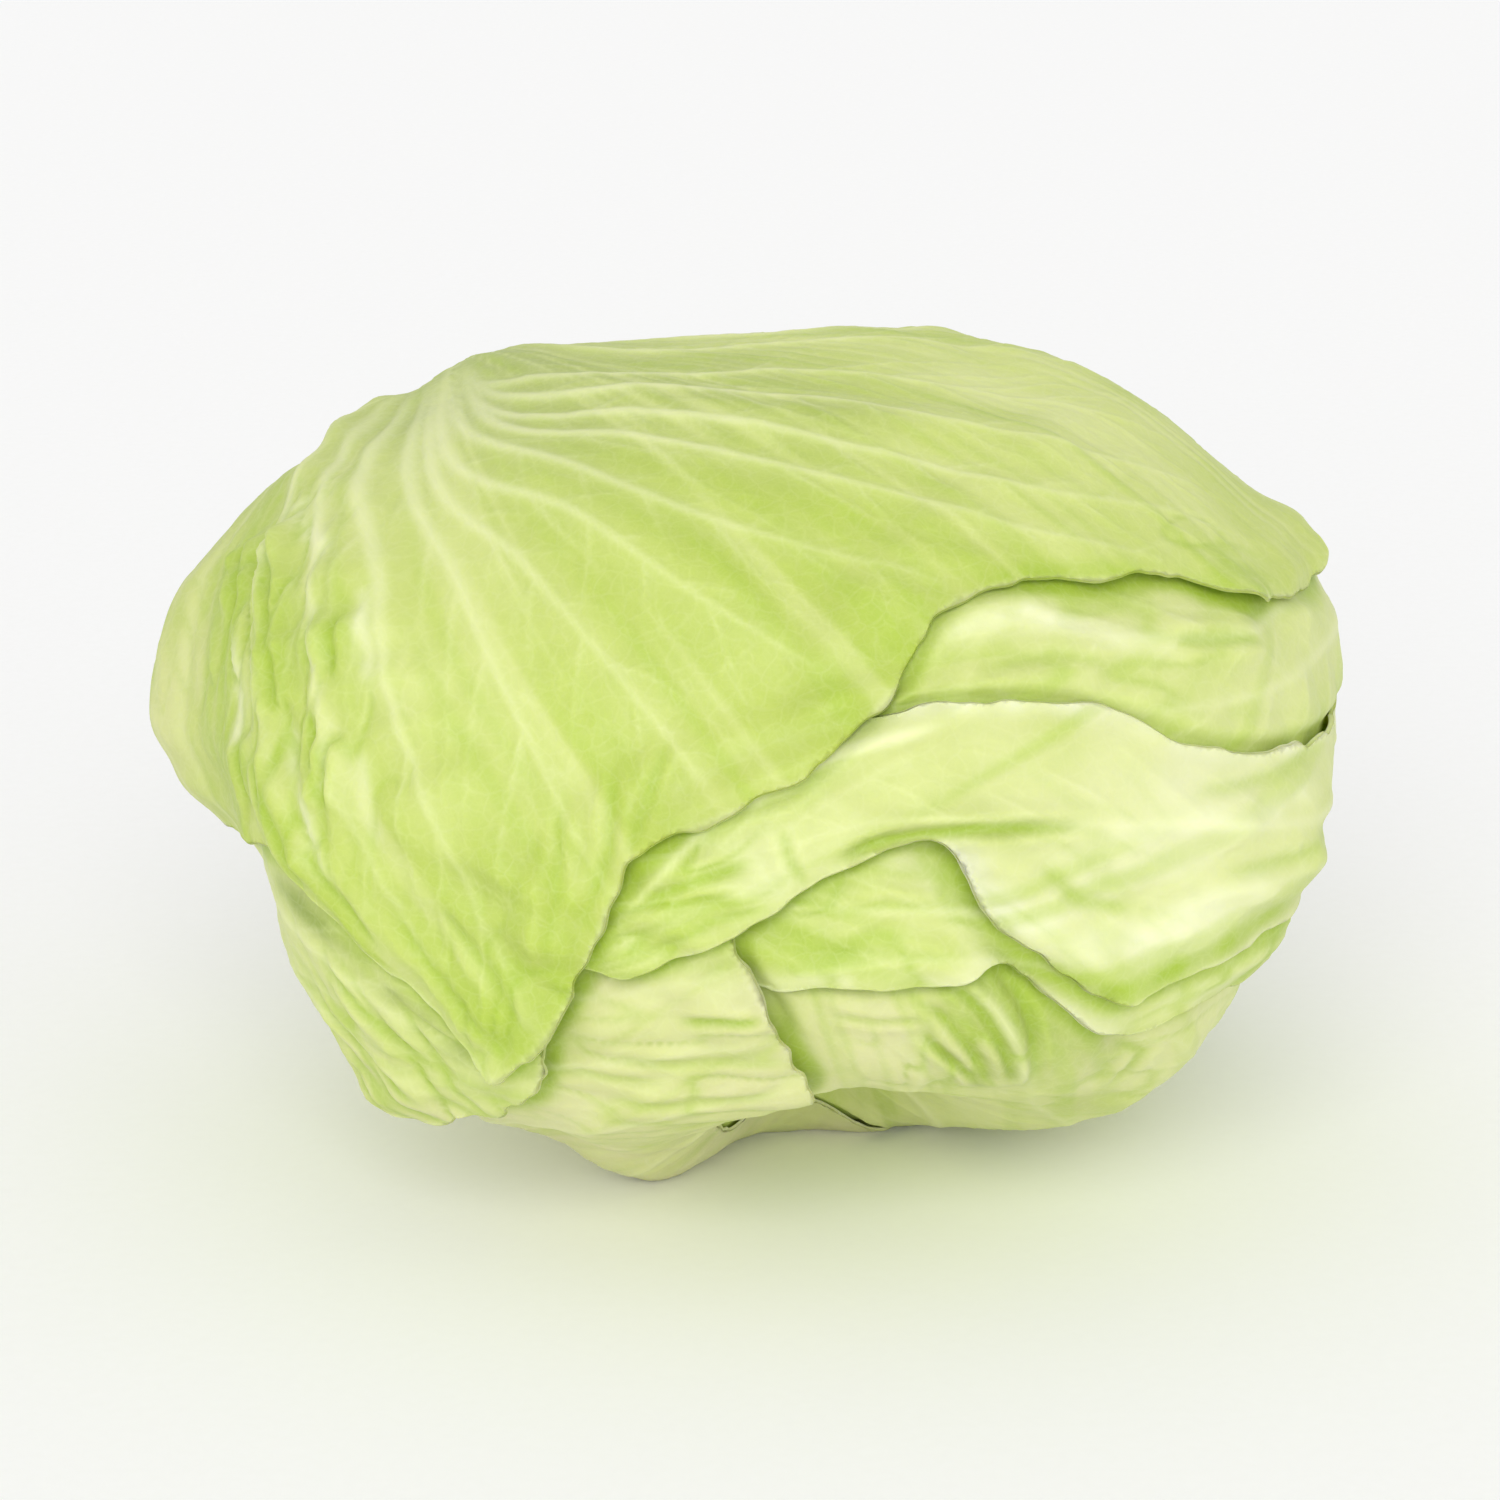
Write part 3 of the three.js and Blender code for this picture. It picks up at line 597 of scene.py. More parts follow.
# The ribs that fan over each leaf besides its midrib, as longitude and latitude.
RIBS = {
    "leaf_cover": [
        [(-118, 47), (-89, 55), (-55, 76), (42, 82), (74, 66), (86, 44)],
        [(-118, 47), (-80, 56), (-43, 70), (19, 71), (49, 57), (65, 45), (80, 34)],
        [(-118, 47), (-73, 54), (-39, 64), (3, 63), (31, 54), (50, 42), (73, 30)],
        [(-118, 47), (-66, 53), (-35, 59), (-2, 57), (23, 49), (40, 39), (55, 31)],
        [(-117, 46), (-68, 50), (-36, 51), (-12, 47), (7, 42), (24, 35)],
        [(-117, 46), (-62, 46), (-30, 44), (-10, 36), (6, 27)],
        [(-116, 45), (-60, 43), (-35, 37), (-24, 31), (-14, 23), (-6, 15)],
        [(-116, 45), (-66, 42), (-42, 33), (-31, 24), (-22, 13), (-15, 4)],
        [(-115, 44), (-72, 39), (-50, 30), (-40, 18), (-31, 6), (-24, -8)],
        [(-115, 43), (-78, 36), (-60, 28), (-50, 18), (-43, 8), (-33, -6)],
        [(-115, 42), (-86, 34), (-72, 26), (-60, 16), (-52, 8)],
        [(-120, 46), (-110, 66), (-170, 82), (120, 66), (108, 45)],
        [(-122, 46), (-140, 62), (168, 72), (134, 55), (124, 40)],
    ],
    "leaf_right": [
        [(150, 10), (110, 9), (82, 8), (64, 9), (52, 12), (40, 16)],
        [(150, 8), (112, 3), (82, 1), (64, 2), (46, 6), (30, 9), (14, 11), (0, 8)],
        [(150, 4), (112, -4), (84, -6), (62, -2), (48, -1), (38, -3)],
        [(152, 0), (120, -12), (96, -12), (80, -8)],
        [(152, 14), (122, 18), (98, 16), (80, 14)],
        [(20, 20), (6, 17), (-6, 10), (-15, 0)],
    ],
    "leaf_right_upper": [
        [(170, 30), (120, 26), (90, 22), (62, 21), (40, 26), (26, 31)],
        [(170, 26), (125, 18), (95, 14), (66, 15), (46, 17), (28, 20)],
        [(172, 38), (140, 44), (110, 44), (80, 40)],
    ],
    "leaf_right_lower": [
        [(160, -10), (116, -8), (84, -4), (60, -6), (40, -8), (20, -4), (4, -5)],
        [(165, -16), (125, -22), (96, -20), (72, -12), (50, -9)],
        [(60, 2), (34, 0), (16, 1), (2, 2)],
    ],
    "leaf_bottom_left": [
        [(-110, -38), (-70, -34), (-40, -24), (-20, -18), (0, -13)],
        [(-110, -42), (-66, -44), (-34, -34), (-12, -26), (4, -21)],
        [(-100, -34), (-60, -22), (-34, -12), (-14, -8), (-2, -4)],
        [(-110, -46), (-50, -60), (-10, -46), (8, -34)],
        [(-150, -50), (-170, -70), (100, -72), (60, -62)],
    ],
    "leaf_lower_left": [
        [(-104, 4), (-84, -2), (-66, -10), (-50, -18), (-38, -24)],
        [(-104, 8), (-80, 4), (-62, -4), (-46, -10), (-32, -18)],
        [(-106, 0), (-94, -14), (-80, -24), (-62, -30)],
        [(-104, 12), (-86, 18), (-70, 22)],
    ],
    "leaf_underside": [
        [(170, -40), (120, -34), (84, -30), (58, -24), (44, -14)],
        [(160, -50), (90, -50), (58, -42), (38, -30), (30, -16)],
        [(150, -60), (60, -60), (30, -46), (22, -30), (18, -14)],
        [(-170, -60), (-100, -78), (0, -66), (4, -48), (6, -30)],
    ],
}


# Creases: a path, the rise of the soft ridges beside it and its width in mm.
CREASES = {
    "leaf_cover": [
        ([(-85, 25), (-81, 23), (-76, 20)], 1.6, 2.4),
        ([(-76, 29), (-69, 26), (-63, 23)], 1.6, 2.2),
        ([(-61, 21), (-57.5, 17), (-55, 14)], 1.4, 2.2),
        ([(-52, 26), (-50, 22), (-48, 19)], 1.2, 2.0),
        ([(-51, 16.5), (-49, 13.8), (-47, 10)], 1.2, 2.0),
        ([(-47, 14.5), (-45.7, 11), (-45, 7)], 1.4, 2.0),
        ([(-66, 24), (-62, 21), (-59, 18)], 1.0, 1.8),
        ([(-56, 25), (-54, 22), (-52, 19)], 1.0, 1.8),
        ([(-62, 11), (-60, 7.5), (-58, 4)], 1.2, 2.0),
        ([(-57, 11), (-55, 7), (-53, 3)], 1.0, 2.0),
        ([(-55, 9), (-51, 4), (-47, -1)], 1.2, 2.5),
        ([(-48, 5), (-44, 0), (-38, -6)], 1.0, 2.5),
        ([(-16, 18), (-15, 8), (-18, -1)], 0.7, 2.2),
        ([(-21, 14), (-20, 3), (-21, -6)], 0.6, 2.0),
        ([(-10, 20), (-12, 12), (-13, 7)], 0.6, 2.0),
        ([(-33, 2), (-27, -6), (-24, -13)], 0.8, 2.2),
        ([(-38, 0), (-32, -8), (-27, -15)], 0.8, 2.2),
    ],
    "leaf_right": [
        ([(-13, 2), (-7, 5), (0, 7)], 1.1, 2.2),
        ([(-12, -3), (-5, 1), (2, 3)], 0.7, 1.8),
        ([(2, 11), (3, 7), (5, 4)], 0.6, 2.0),
        ([(6, 6.2), (11, 8.4), (16, 9.6), (21, 9.8), (28, 9), (36, 8)], 1.5, 1.9),
        ([(27, 6), (32, 1), (39, -1)], 0.7, 2.4),
        ([(44, 9), (56, 8), (70, 8)], 0.5, 2.2),
        ([(46, 1), (58, 0), (72, 0)], 0.5, 2.2),
    ],
    "leaf_right_upper": [
        ([(48, 23.5), (55, 22), (64, 19.5)], 1.1, 2.2),
        ([(24, 25), (34, 25), (42, 22)], 0.5, 2.2),
    ],
    "leaf_right_lower": [
        ([(2, -3), (12, -3), (22, -4)], 0.5, 2.2),
        ([(6, 1), (13, 2), (20, 1)], 0.5, 2.0),
        ([(44, -10), (56, -9), (68, -10)], 0.7, 2.4),
    ],
    "leaf_bottom_left": [
        ([(-9, -11), (-4, -9.5), (1, -9)], 1.1, 2.0),
        ([(-20, -23), (-11, -23.5), (-3, -23), (3, -21)], 0.6, 2.4),
        ([(-14, -32), (-4, -31), (4, -29)], 0.5, 2.4),
        ([(-18, -16), (-8, -17), (2, -15)], 0.5, 2.2),
        ([(-30, -20), (-20, -19), (-10, -20)], 0.5, 2.2),
    ],
    "leaf_lower_left": [
        ([(-50, -8), (-44, -14), (-36, -21)], 0.9, 2.4),
        ([(-54, -14), (-48, -20), (-40, -26)], 1.0, 2.4),
        ([(-58, -20), (-53, -25), (-47, -29)], 0.8, 2.2),
    ],
    "leaf_underside": [
        ([(23, -5), (27, -8.6), (29, -12), (30.5, -16), (32, -20), (34, -26)], 1.1, 2.0),
        ([(18, -6), (21, -8), (23.5, -10.8), (25.4, -13.6), (27.4, -17), (31, -24)], 1.2, 1.7),
        ([(17, -9), (20, -12), (22, -14.5), (24.5, -17.5), (28, -23)], 0.9, 1.6),
        ([(17, -13), (20, -16.5), (23, -19.3), (25, -21.3), (29, -26)], 1.1, 1.7),
        ([(7, -11), (13, -12.5), (19, -12)], 0.5, 1.8),
        ([(40, -17), (46, -20), (48, -28)], 0.8, 2.4),
        ([(14, -30), (26, -31), (40, -33)], 0.7, 2.4),
    ],
}

# Crumpled stretches: their middle and radius in degrees, two places that tell the
# way the wrinkles run, and the wrinkles' width and rise in mm.
CRUMPLES = {
    "leaf_cover": [
        ((-72, 22), 13, (-84, 32), (-56, 8), 3.2, 1.6),
        ((-50, 10), 11, (-53, 24), (-45, -2), 3.2, 1.3),
        ((-24, -10), 10, (-18, 8), (-24, -14), 3.4, 1.2),
        ((62, 26), 12, (40, 31), (90, 24), 4.5, 0.8),
    ],
    "leaf_right": [
        ((-9, 3), 9, (-16, -2), (0, 6), 3.2, 1.3),
        ((30, 2), 12, (18, 8), (34, -4), 5.0, 0.35),
    ],
    "leaf_right_upper": [((40, 25), 20, (24, 26), (60, 22), 5.0, 0.6)],
    "leaf_right_lower": [
        ((12, 0), 12, (0, -2), (22, -2), 3.6, 0.8),
        ((56, -9), 14, (46, -10), (66, -9), 4.0, 1.0),
    ],
    "leaf_bottom_left": [((-8, -22), 20, (-24, -20), (4, -20), 4.0, 0.6)],
    "leaf_lower_left": [((-42, -22), 14, (-52, -8), (-36, -26), 3.6, 1.8)],
    "leaf_underside": [
        ((24, -18), 10, (22, -10), (30, -24), 3.4, 1.0),
        ((48, -26), 14, (36, -24), (60, -24), 5.0, 0.6),
    ],
}
# CREASE_VALLEY and CRUMPLE_VALLEY set how wide the painted shade down a crease or wrinkle lies.
CREASE_VALLEY = 0.5  # of a crease's width
CRUMPLE_STRETCH = 0.72  # of the wrinkles along their way
CRUMPLE_STEEPNESS = 1.8
CRUMPLE_VALLEY = 0.14  # of a wrinkle's noise
HUB_RADIUS = 24  # degrees round the place where a leaf's ribs gather


def fold_relief(leaf, k, d):
    """Creases and crumples: a height in mm, never below 0, and the painted shade down in their
    hollows, 0 to 1.
    """
    p = d * NOMINAL_RADIUS
    height, crease_shade = np.zeros(len(d)), np.zeros(len(d))
    for path, rise, width in CREASES[leaf["name"]]:
        away, where = from_path(places(path), d)
        share = fading(where, 4)
        height += rise * share * (away / width) ** 2 * np.exp(1 - (away / width) ** 2)
        crease_shade = np.maximum(crease_shade, share * min(rise, 1) * hump(away, CREASE_VALLEY * width))
    for middle, radius, start, end, width, rise in CRUMPLES[leaf["name"]]:
        share = hump(angle(d, at(*middle)), radius)
        way = unit(at(*end) - at(*start))
        squeezed = p - CRUMPLE_STRETCH * (p @ way)[:, None] * way
        wrinkle = np.abs(noise(squeezed, width, k + 4))
        height += share * rise * np.minimum(wrinkle * CRUMPLE_STEEPNESS, 1)
        crease_shade = np.maximum(crease_shade, share * min(rise, 1) * hump(wrinkle, CRUMPLE_VALLEY))
    return height, crease_shade


def hub_share(leaf, d):
    """1 where the leaf's ribs gather, 0 far from there."""
    return hump(angle(d, at(*leaf["ribs"][0][0])), HUB_RADIUS)


STREAKS_ROUND = 15  # how many streaks per radian fan out from a leaf's hub
STREAK_LENGTH = 70  # mm


def fan_noise(leaf, d):
    """Streaks, broad ones and finer ones, that run out from where the leaf's ribs gather."""
    hub = at(*leaf["ribs"][0][0])
    up = unit(np.array([0, 0, 1]) - hub * hub[2])
    side = np.cross(hub, up)
    reach = angle(d, hub) * RAD * NOMINAL_RADIUS
    round_hub = unit(np.stack([d @ up, d @ side], -1)) * STREAKS_ROUND
    fan = np.column_stack([round_hub, reach / STREAK_LENGTH])
    return 0.6 * noise(fan, 1) + 0.6 * noise(fan * (2.6, 2.6, 1), 1, 7)


# Places where a margin lies close on the leaf under it, which rises to meet it.
SEAMS = places([
    (1, 14), (8, 19), (14, 24), (19, 30), (27, 33), (16, 22), (25, 22), (34, 20), (42, 17),
    (48, 13), (57, 10), (68, 9), (77, 8), (86, 7.5), (95, 7), (104, 8.5), (78, 20), (2, -7),
    (10, -7), (17, -7), (3, -30), (1, -38), (-3, -46), (-8, -56), (-4, -66), (10, -72),
    (35, -73), (60, -72), (82, -70),
])
SEAM_RADIUS = 6  # degrees
SEAM_SWELL = 1.3  # mm, of the leaf underneath, just outside the margin
SEAM_RISE = 0.6  # mm, of the leaf underneath, at the margin
SEAM_REACH = 16  # mm
SEAM_SETTLE = 0.4  # mm, of the margin above
# Where a margin that stands off the leaf below is pressed down: place, degrees, mm.
PRESSED = [((84, 7.5), 9, 1.3)]
MOST_SETTLED = 0.65  # mm below the solid, so that sheets don't cross

# Layers of noise: height and size of bumps in mm, and shift.
QUILT = [(0.30, 13, 0), (0.18, 6.5, 5), (0.08, 3.2, 9)]
FRILL = [(0.7, 8, 3), (0.3, 4, 2)]
FRILL_AT_SEAM = 0.3
STREAK_RISE = 0.25  # mm


def seam_share(d):
    return np.max([hump(angle(d, place), SEAM_RADIUS) for place in SEAMS], axis=0)


def pressed(d):
    return sum(depth * hump(angle(d, at(*place)), radius) for place, radius, depth in PRESSED)


def relief(leaf, k, d, beyonds):
    """What a leaf adds to the solid's shape where nothing covers it."""
    p = d * NOMINAL_RADIUS
    over = [beyonds[m] for m in range(k + 1, len(LEAVES))]
    covered = np.min(over + [np.full(len(d), 99.0)], axis=0)
    shown = ease((covered + 1) / 4)
    veins = leaf["veins"].read(to_plane(leaf, d) * NOMINAL_RADIUS)
    folds, crease_shade = fold_relief(leaf, k, d)
    quilt = noises(QUILT, p, k)
    seam, rim = seam_share(d), rim_share(beyonds[k])
    frill = rim**2 * noises(FRILL, p, k)
    frill = frill * (1 - (1 - FRILL_AT_SEAM) * seam) - SEAM_SETTLE * seam * rim
    streak = fan_noise(leaf, d)
    swell = SEAM_RISE * ease(covered / 2 + 1) + SEAM_SWELL * ease(covered / 1.2)
    swell = seam * swell * hump(covered, SEAM_REACH)
    under = np.maximum(quilt + frill + STREAK_RISE * streak, -MOST_SETTLED) + folds + swell
    under -= pressed(d) * rim
    return dict(
        veins=veins, fine=shown * (veins + under), under=shown * under, covered=covered,
        crease_shade=crease_shade * shown, streak=streak, seam=seam,
    )


# ---- fine meshes ----
RIM_GAP = 0.6  # of a step, between the margin and the points inside it
RIM_ROUNDING = 0.3  # mm, how far a sheet's rounded edge stands out
TEETH = [(0.6, 3.2, 0), (1.3, 9, 1)]  # layers of noise
TEETH_INWARD = 0.8  # mm


def lattice(leaf, step):
    """Points on the leaf, close together where it shows and wide apart under other leaves."""
    i, j, p = even_triangles(math.ceil(math.pi / step), step)
    inside = past_in_plane(leaf, p) < -RIM_GAP * step * NOMINAL_RADIUS
    p, i, j = p[inside], i[inside], j[inside]
    d = from_plane(leaf, p)
    over = LEAVES[leaf["order"] + 1 :]
    covered = np.min([past(m, d) for m in over] + [np.full(len(d), 99.0)], axis=0)
    sparse = (i % HIDDEN_SHARE == 0) & (j % HIDDEN_SHARE == 0)
    return p[(covered > -HIDDEN_DEPTH) | sparse]


def triangles_of(rim, flat):
    outline = [list(range(len(rim)))]
    points, _, faces, *_ = delaunay_2d_cdt([Vector(p) for p in flat], [], outline, 1, 1e-9)
    if len(points) != len(flat):
        raise ValueError("the margin crosses itself")
    tri = np.array(faces)
    a, b, c = flat[tri[:, 0]], flat[tri[:, 1]], flat[tri[:, 2]]
    turn = (b[:, 0] - a[:, 0]) * (c[:, 1] - a[:, 1]) - (b[:, 1] - a[:, 1]) * (c[:, 0] - a[:, 0])
    tri[turn < 0] = tri[turn < 0][:, ::-1]
    return tri


def mesh_of(name, points, triangles, attributes=None):
    mesh = bpy.data.meshes.new(name)
    mesh.from_pydata(points * MM, [], triangles)
    mesh.shade_smooth()
    for key, values in (attributes or {}).items():
        kind, field = ("FLOAT", "value") if values.ndim == 1 else ("FLOAT_VECTOR", "vector")
        layer = mesh.attributes.new(key, kind, "POINT")
        layer.data.foreach_set(field, values.astype(np.float32).ravel())
    mesh.update()
    piece = bpy.data.objects.new(name, mesh)
    bpy.context.scene.collection.objects.link(piece)
    return piece


def rounded_sheet(flat, rim_count, triangles, outer, inner, rim_middle):
    """Both faces of a sheet and a band round its margin with a rounded edge."""
    n = len(flat)
    points = np.vstack([outer, inner, rim_middle])
    a = np.arange(rim_count)
    b = (a + 1) % rim_count
    faces = triangles.tolist()
    faces += (triangles[:, ::-1] + n).tolist()
    faces += np.stack([a, a + 2 * n, b + 2 * n, b], -1).tolist()
    faces += np.stack([a + 2 * n, a + n, b + n, b + 2 * n], -1).tolist()
    return points, faces


def leaf_piece(leaf):
    """A leaf with the solid's margins and folds, veined, quilted and frilled."""
    k = leaf["order"]
    step = FINE_STEP / NOMINAL_RADIUS
    rim = evenly(leaf["loop"], step)
    outward = np.roll(rim, -1, 0) - np.roll(rim, 1, 0)
    outward = unit(np.stack([outward[:, 1], -outward[:, 0]], -1))
    turn = (rim * np.roll(rim, -1, 0)[:, ::-1] * [1, -1]).sum()
    outward *= math.copysign(1, turn)
    where = from_plane(leaf, rim) * NOMINAL_RADIUS
    teeth = (noises(TEETH, where, k) - TEETH_INWARD) * leaf.get("toothed", 1)
    rim = rim + outward * (teeth / NOMINAL_RADIUS)[:, None]
    flat = np.vstack([rim, lattice(leaf, step)])
    triangles = triangles_of(rim, flat)
    d = from_plane(leaf, flat)
    faces, top, beyonds = stack(d)
    surface = heart_surface(d, top)
    looks = relief(leaf, k, d, beyonds)
    inner, outer = faces[k]
    high = place_at(d, surface + outer + looks["fine"])
    low = place_at(d, surface + inner + looks["under"])
    m = len(rim)
    edge = from_plane(leaf, rim + outward * (RIM_ROUNDING / NOMINAL_RADIUS))
    middle = place_at(edge, (surface + (outer + inner) / 2 + looks["fine"])[:m])
    points, polygons = rounded_sheet(flat, m, triangles, high, low, middle)
    tint = tints(leaf, d, beyonds[k], looks)
    both = np.vstack([tint, tint, tint[:m]])
    veins = looks["veins"] * (1 - HUB_FADE * hub_share(leaf, d))
    vein = np.concatenate([veins, veins * 0.5, veins[:m] * 0])
    piece = mesh_of(leaf["name"] + "_skin", points + SHIFT, polygons, {"tint": both, "vein": vein})
    piece.data.materials.append(leaf_material(leaf["name"] + "_surface"))
    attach(piece, "root")
    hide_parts(leaf["name"])


# ---- colour ----
def linear(r, g, b):
    """Display colour, 0 to 255, as scene colour."""
    c = np.array([r, g, b]) / 255
    return np.where(c <= 0.04045, c / 12.92, ((c + 0.055) / 1.055) ** 2.4)


LIME = linear(189, 205, 103)
FRESH = linear(184, 205, 86)
BRIGHT = linear(168, 196, 58)
PALE = linear(222, 230, 156)
SOFT = linear(211, 220, 146)
# painted shade, for the top of the head
TOP_SHADE = linear(160, 177, 84)
CREAM = linear(238, 241, 194)
BEIGE = linear(222, 221, 168)
OLIVE = linear(132, 152, 52)
WHITE = linear(247, 250, 210)
PITH = linear(236, 232, 196)
CUT = linear(214, 204, 150)
STRANDS = linear(176, 158, 96)
DRIED = linear(170, 140, 84)
PAPER = linear(249, 249, 248), linear(252, 252, 252)

# How strongly each cause tints a leaf, 0 to 1; the shares for creases and for covering margins are
# painted shade.
SHARE = dict(
    blotch=0.30, streak=0.42, pale_streak=0.45, rib=0.60, base=0.7, crease_shade=0.85, shade=0.9,
    rim=0.35,
)
HUB_FADE = 0.8  # of veins and streaks where the ribs gather
BLOTCHES = [(1, 16, 2), (0.5, 7, 0)]  # layers of noise

# Each leaf's own colour, and patches of others: (longitude, latitude), radius in
# degrees, colour, strength.
COLOURS = {
    "leaf_cover": (LIME, [
        ((-78, 21), 10, BRIGHT, 0.75), ((-52, 22.5), 5, BRIGHT, 0.85), ((-62, 20), 7, BRIGHT, 0.6),
        ((-45, 18), 3, BRIGHT, 0.5), ((-66, 40), 12, PALE, 0.5), ((-41, 21.6), 4, PALE, 0.8),
        # Painted shade: the darker green and olive patches high on the head, latitude 55 to 68,
        # darken its top.
        ((-98, 55), 19, TOP_SHADE, 1.0), ((-60, 62), 19, TOP_SHADE, 0.85), ((-20, 68), 20, TOP_SHADE, 0.7),
        ((-98, 55), 16, OLIVE, 0.35), ((-60, 62), 18, OLIVE, 0.3), ((-15, 66), 16, OLIVE, 0.15),
        ((-36, 4), 13, FRESH, 0.5), ((62, 40), 18, PALE, 0.45), ((95, 60), 16, PALE, 0.6),
        ((96, 32), 12, PALE, 0.3),
        ((-38, 22), 12, PALE, 0.5), ((-20, 50), 16, FRESH, 0.6),
        ((0, 44), 12, FRESH, 0.5), ((-29, -12), 9, BRIGHT, 0.6),
        ((10, 24), 5, BRIGHT, 0.45), ((19, 30), 5, BRIGHT, 0.45), ((-88, 8), 13, BEIGE, 0.85),
        ((-150, 60), 30, PALE, 0.4), ((-10, 24), 14, FRESH, 0.2),
    ]),
    "leaf_right": (SOFT, [
        ((52, 5), 14, CREAM, 0.6), ((-8, 4), 9, FRESH, 0.6),
        ((-16, -2), 7, BRIGHT, 0.5), ((72, 8), 12, LIME, 0.4), ((40, 2), 9, CREAM, 0.8),
        ((14, 13), 8, LIME, 0.25), ((0, 6), 4, WHITE, 0.4),
    ]),
    "leaf_right_upper": (SOFT, [
        ((20, 25), 8, LIME, 0.6), ((46, 19), 5, FRESH, 0.35),
    ]),
    "leaf_right_lower": (LIME, [
        ((4, -1), 8, BRIGHT, 0.6), ((18, 0), 9, PALE, 0.5), ((50, -8), 12, FRESH, 0.3),
        ((70, -10), 12, PALE, 0.4),
    ]),
    "leaf_bottom_left": (BEIGE, [
        # the small bright green patch at (-4, -3) is painted shade below leaf_right's margin
        ((-24, -12), 7, LIME, 0.6), ((-4, -3), 4, BRIGHT, 0.5), ((-10, -36), 10, LIME, 0.3),
    ]),
    "leaf_lower_left": (SOFT, [
        ((-78, 10), 14, PALE, 0.8), ((-45, -26), 9, BEIGE, 0.8), ((-32, -14), 8, BRIGHT, 0.5),
        ((-96, -10), 18, FRESH, 0.5),
    ]),
    "leaf_underside": (PALE, [
        ((26, -12), 7, OLIVE, 0.5), ((14, -16), 10, BEIGE, 0.7), ((46, -20), 12, BEIGE, 0.4),
        ((20, -34), 14, BEIGE, 0.6), ((36, -17), 6, OLIVE, 0.35), ((49, -34), 5, OLIVE, 0.4),
    ]),
}

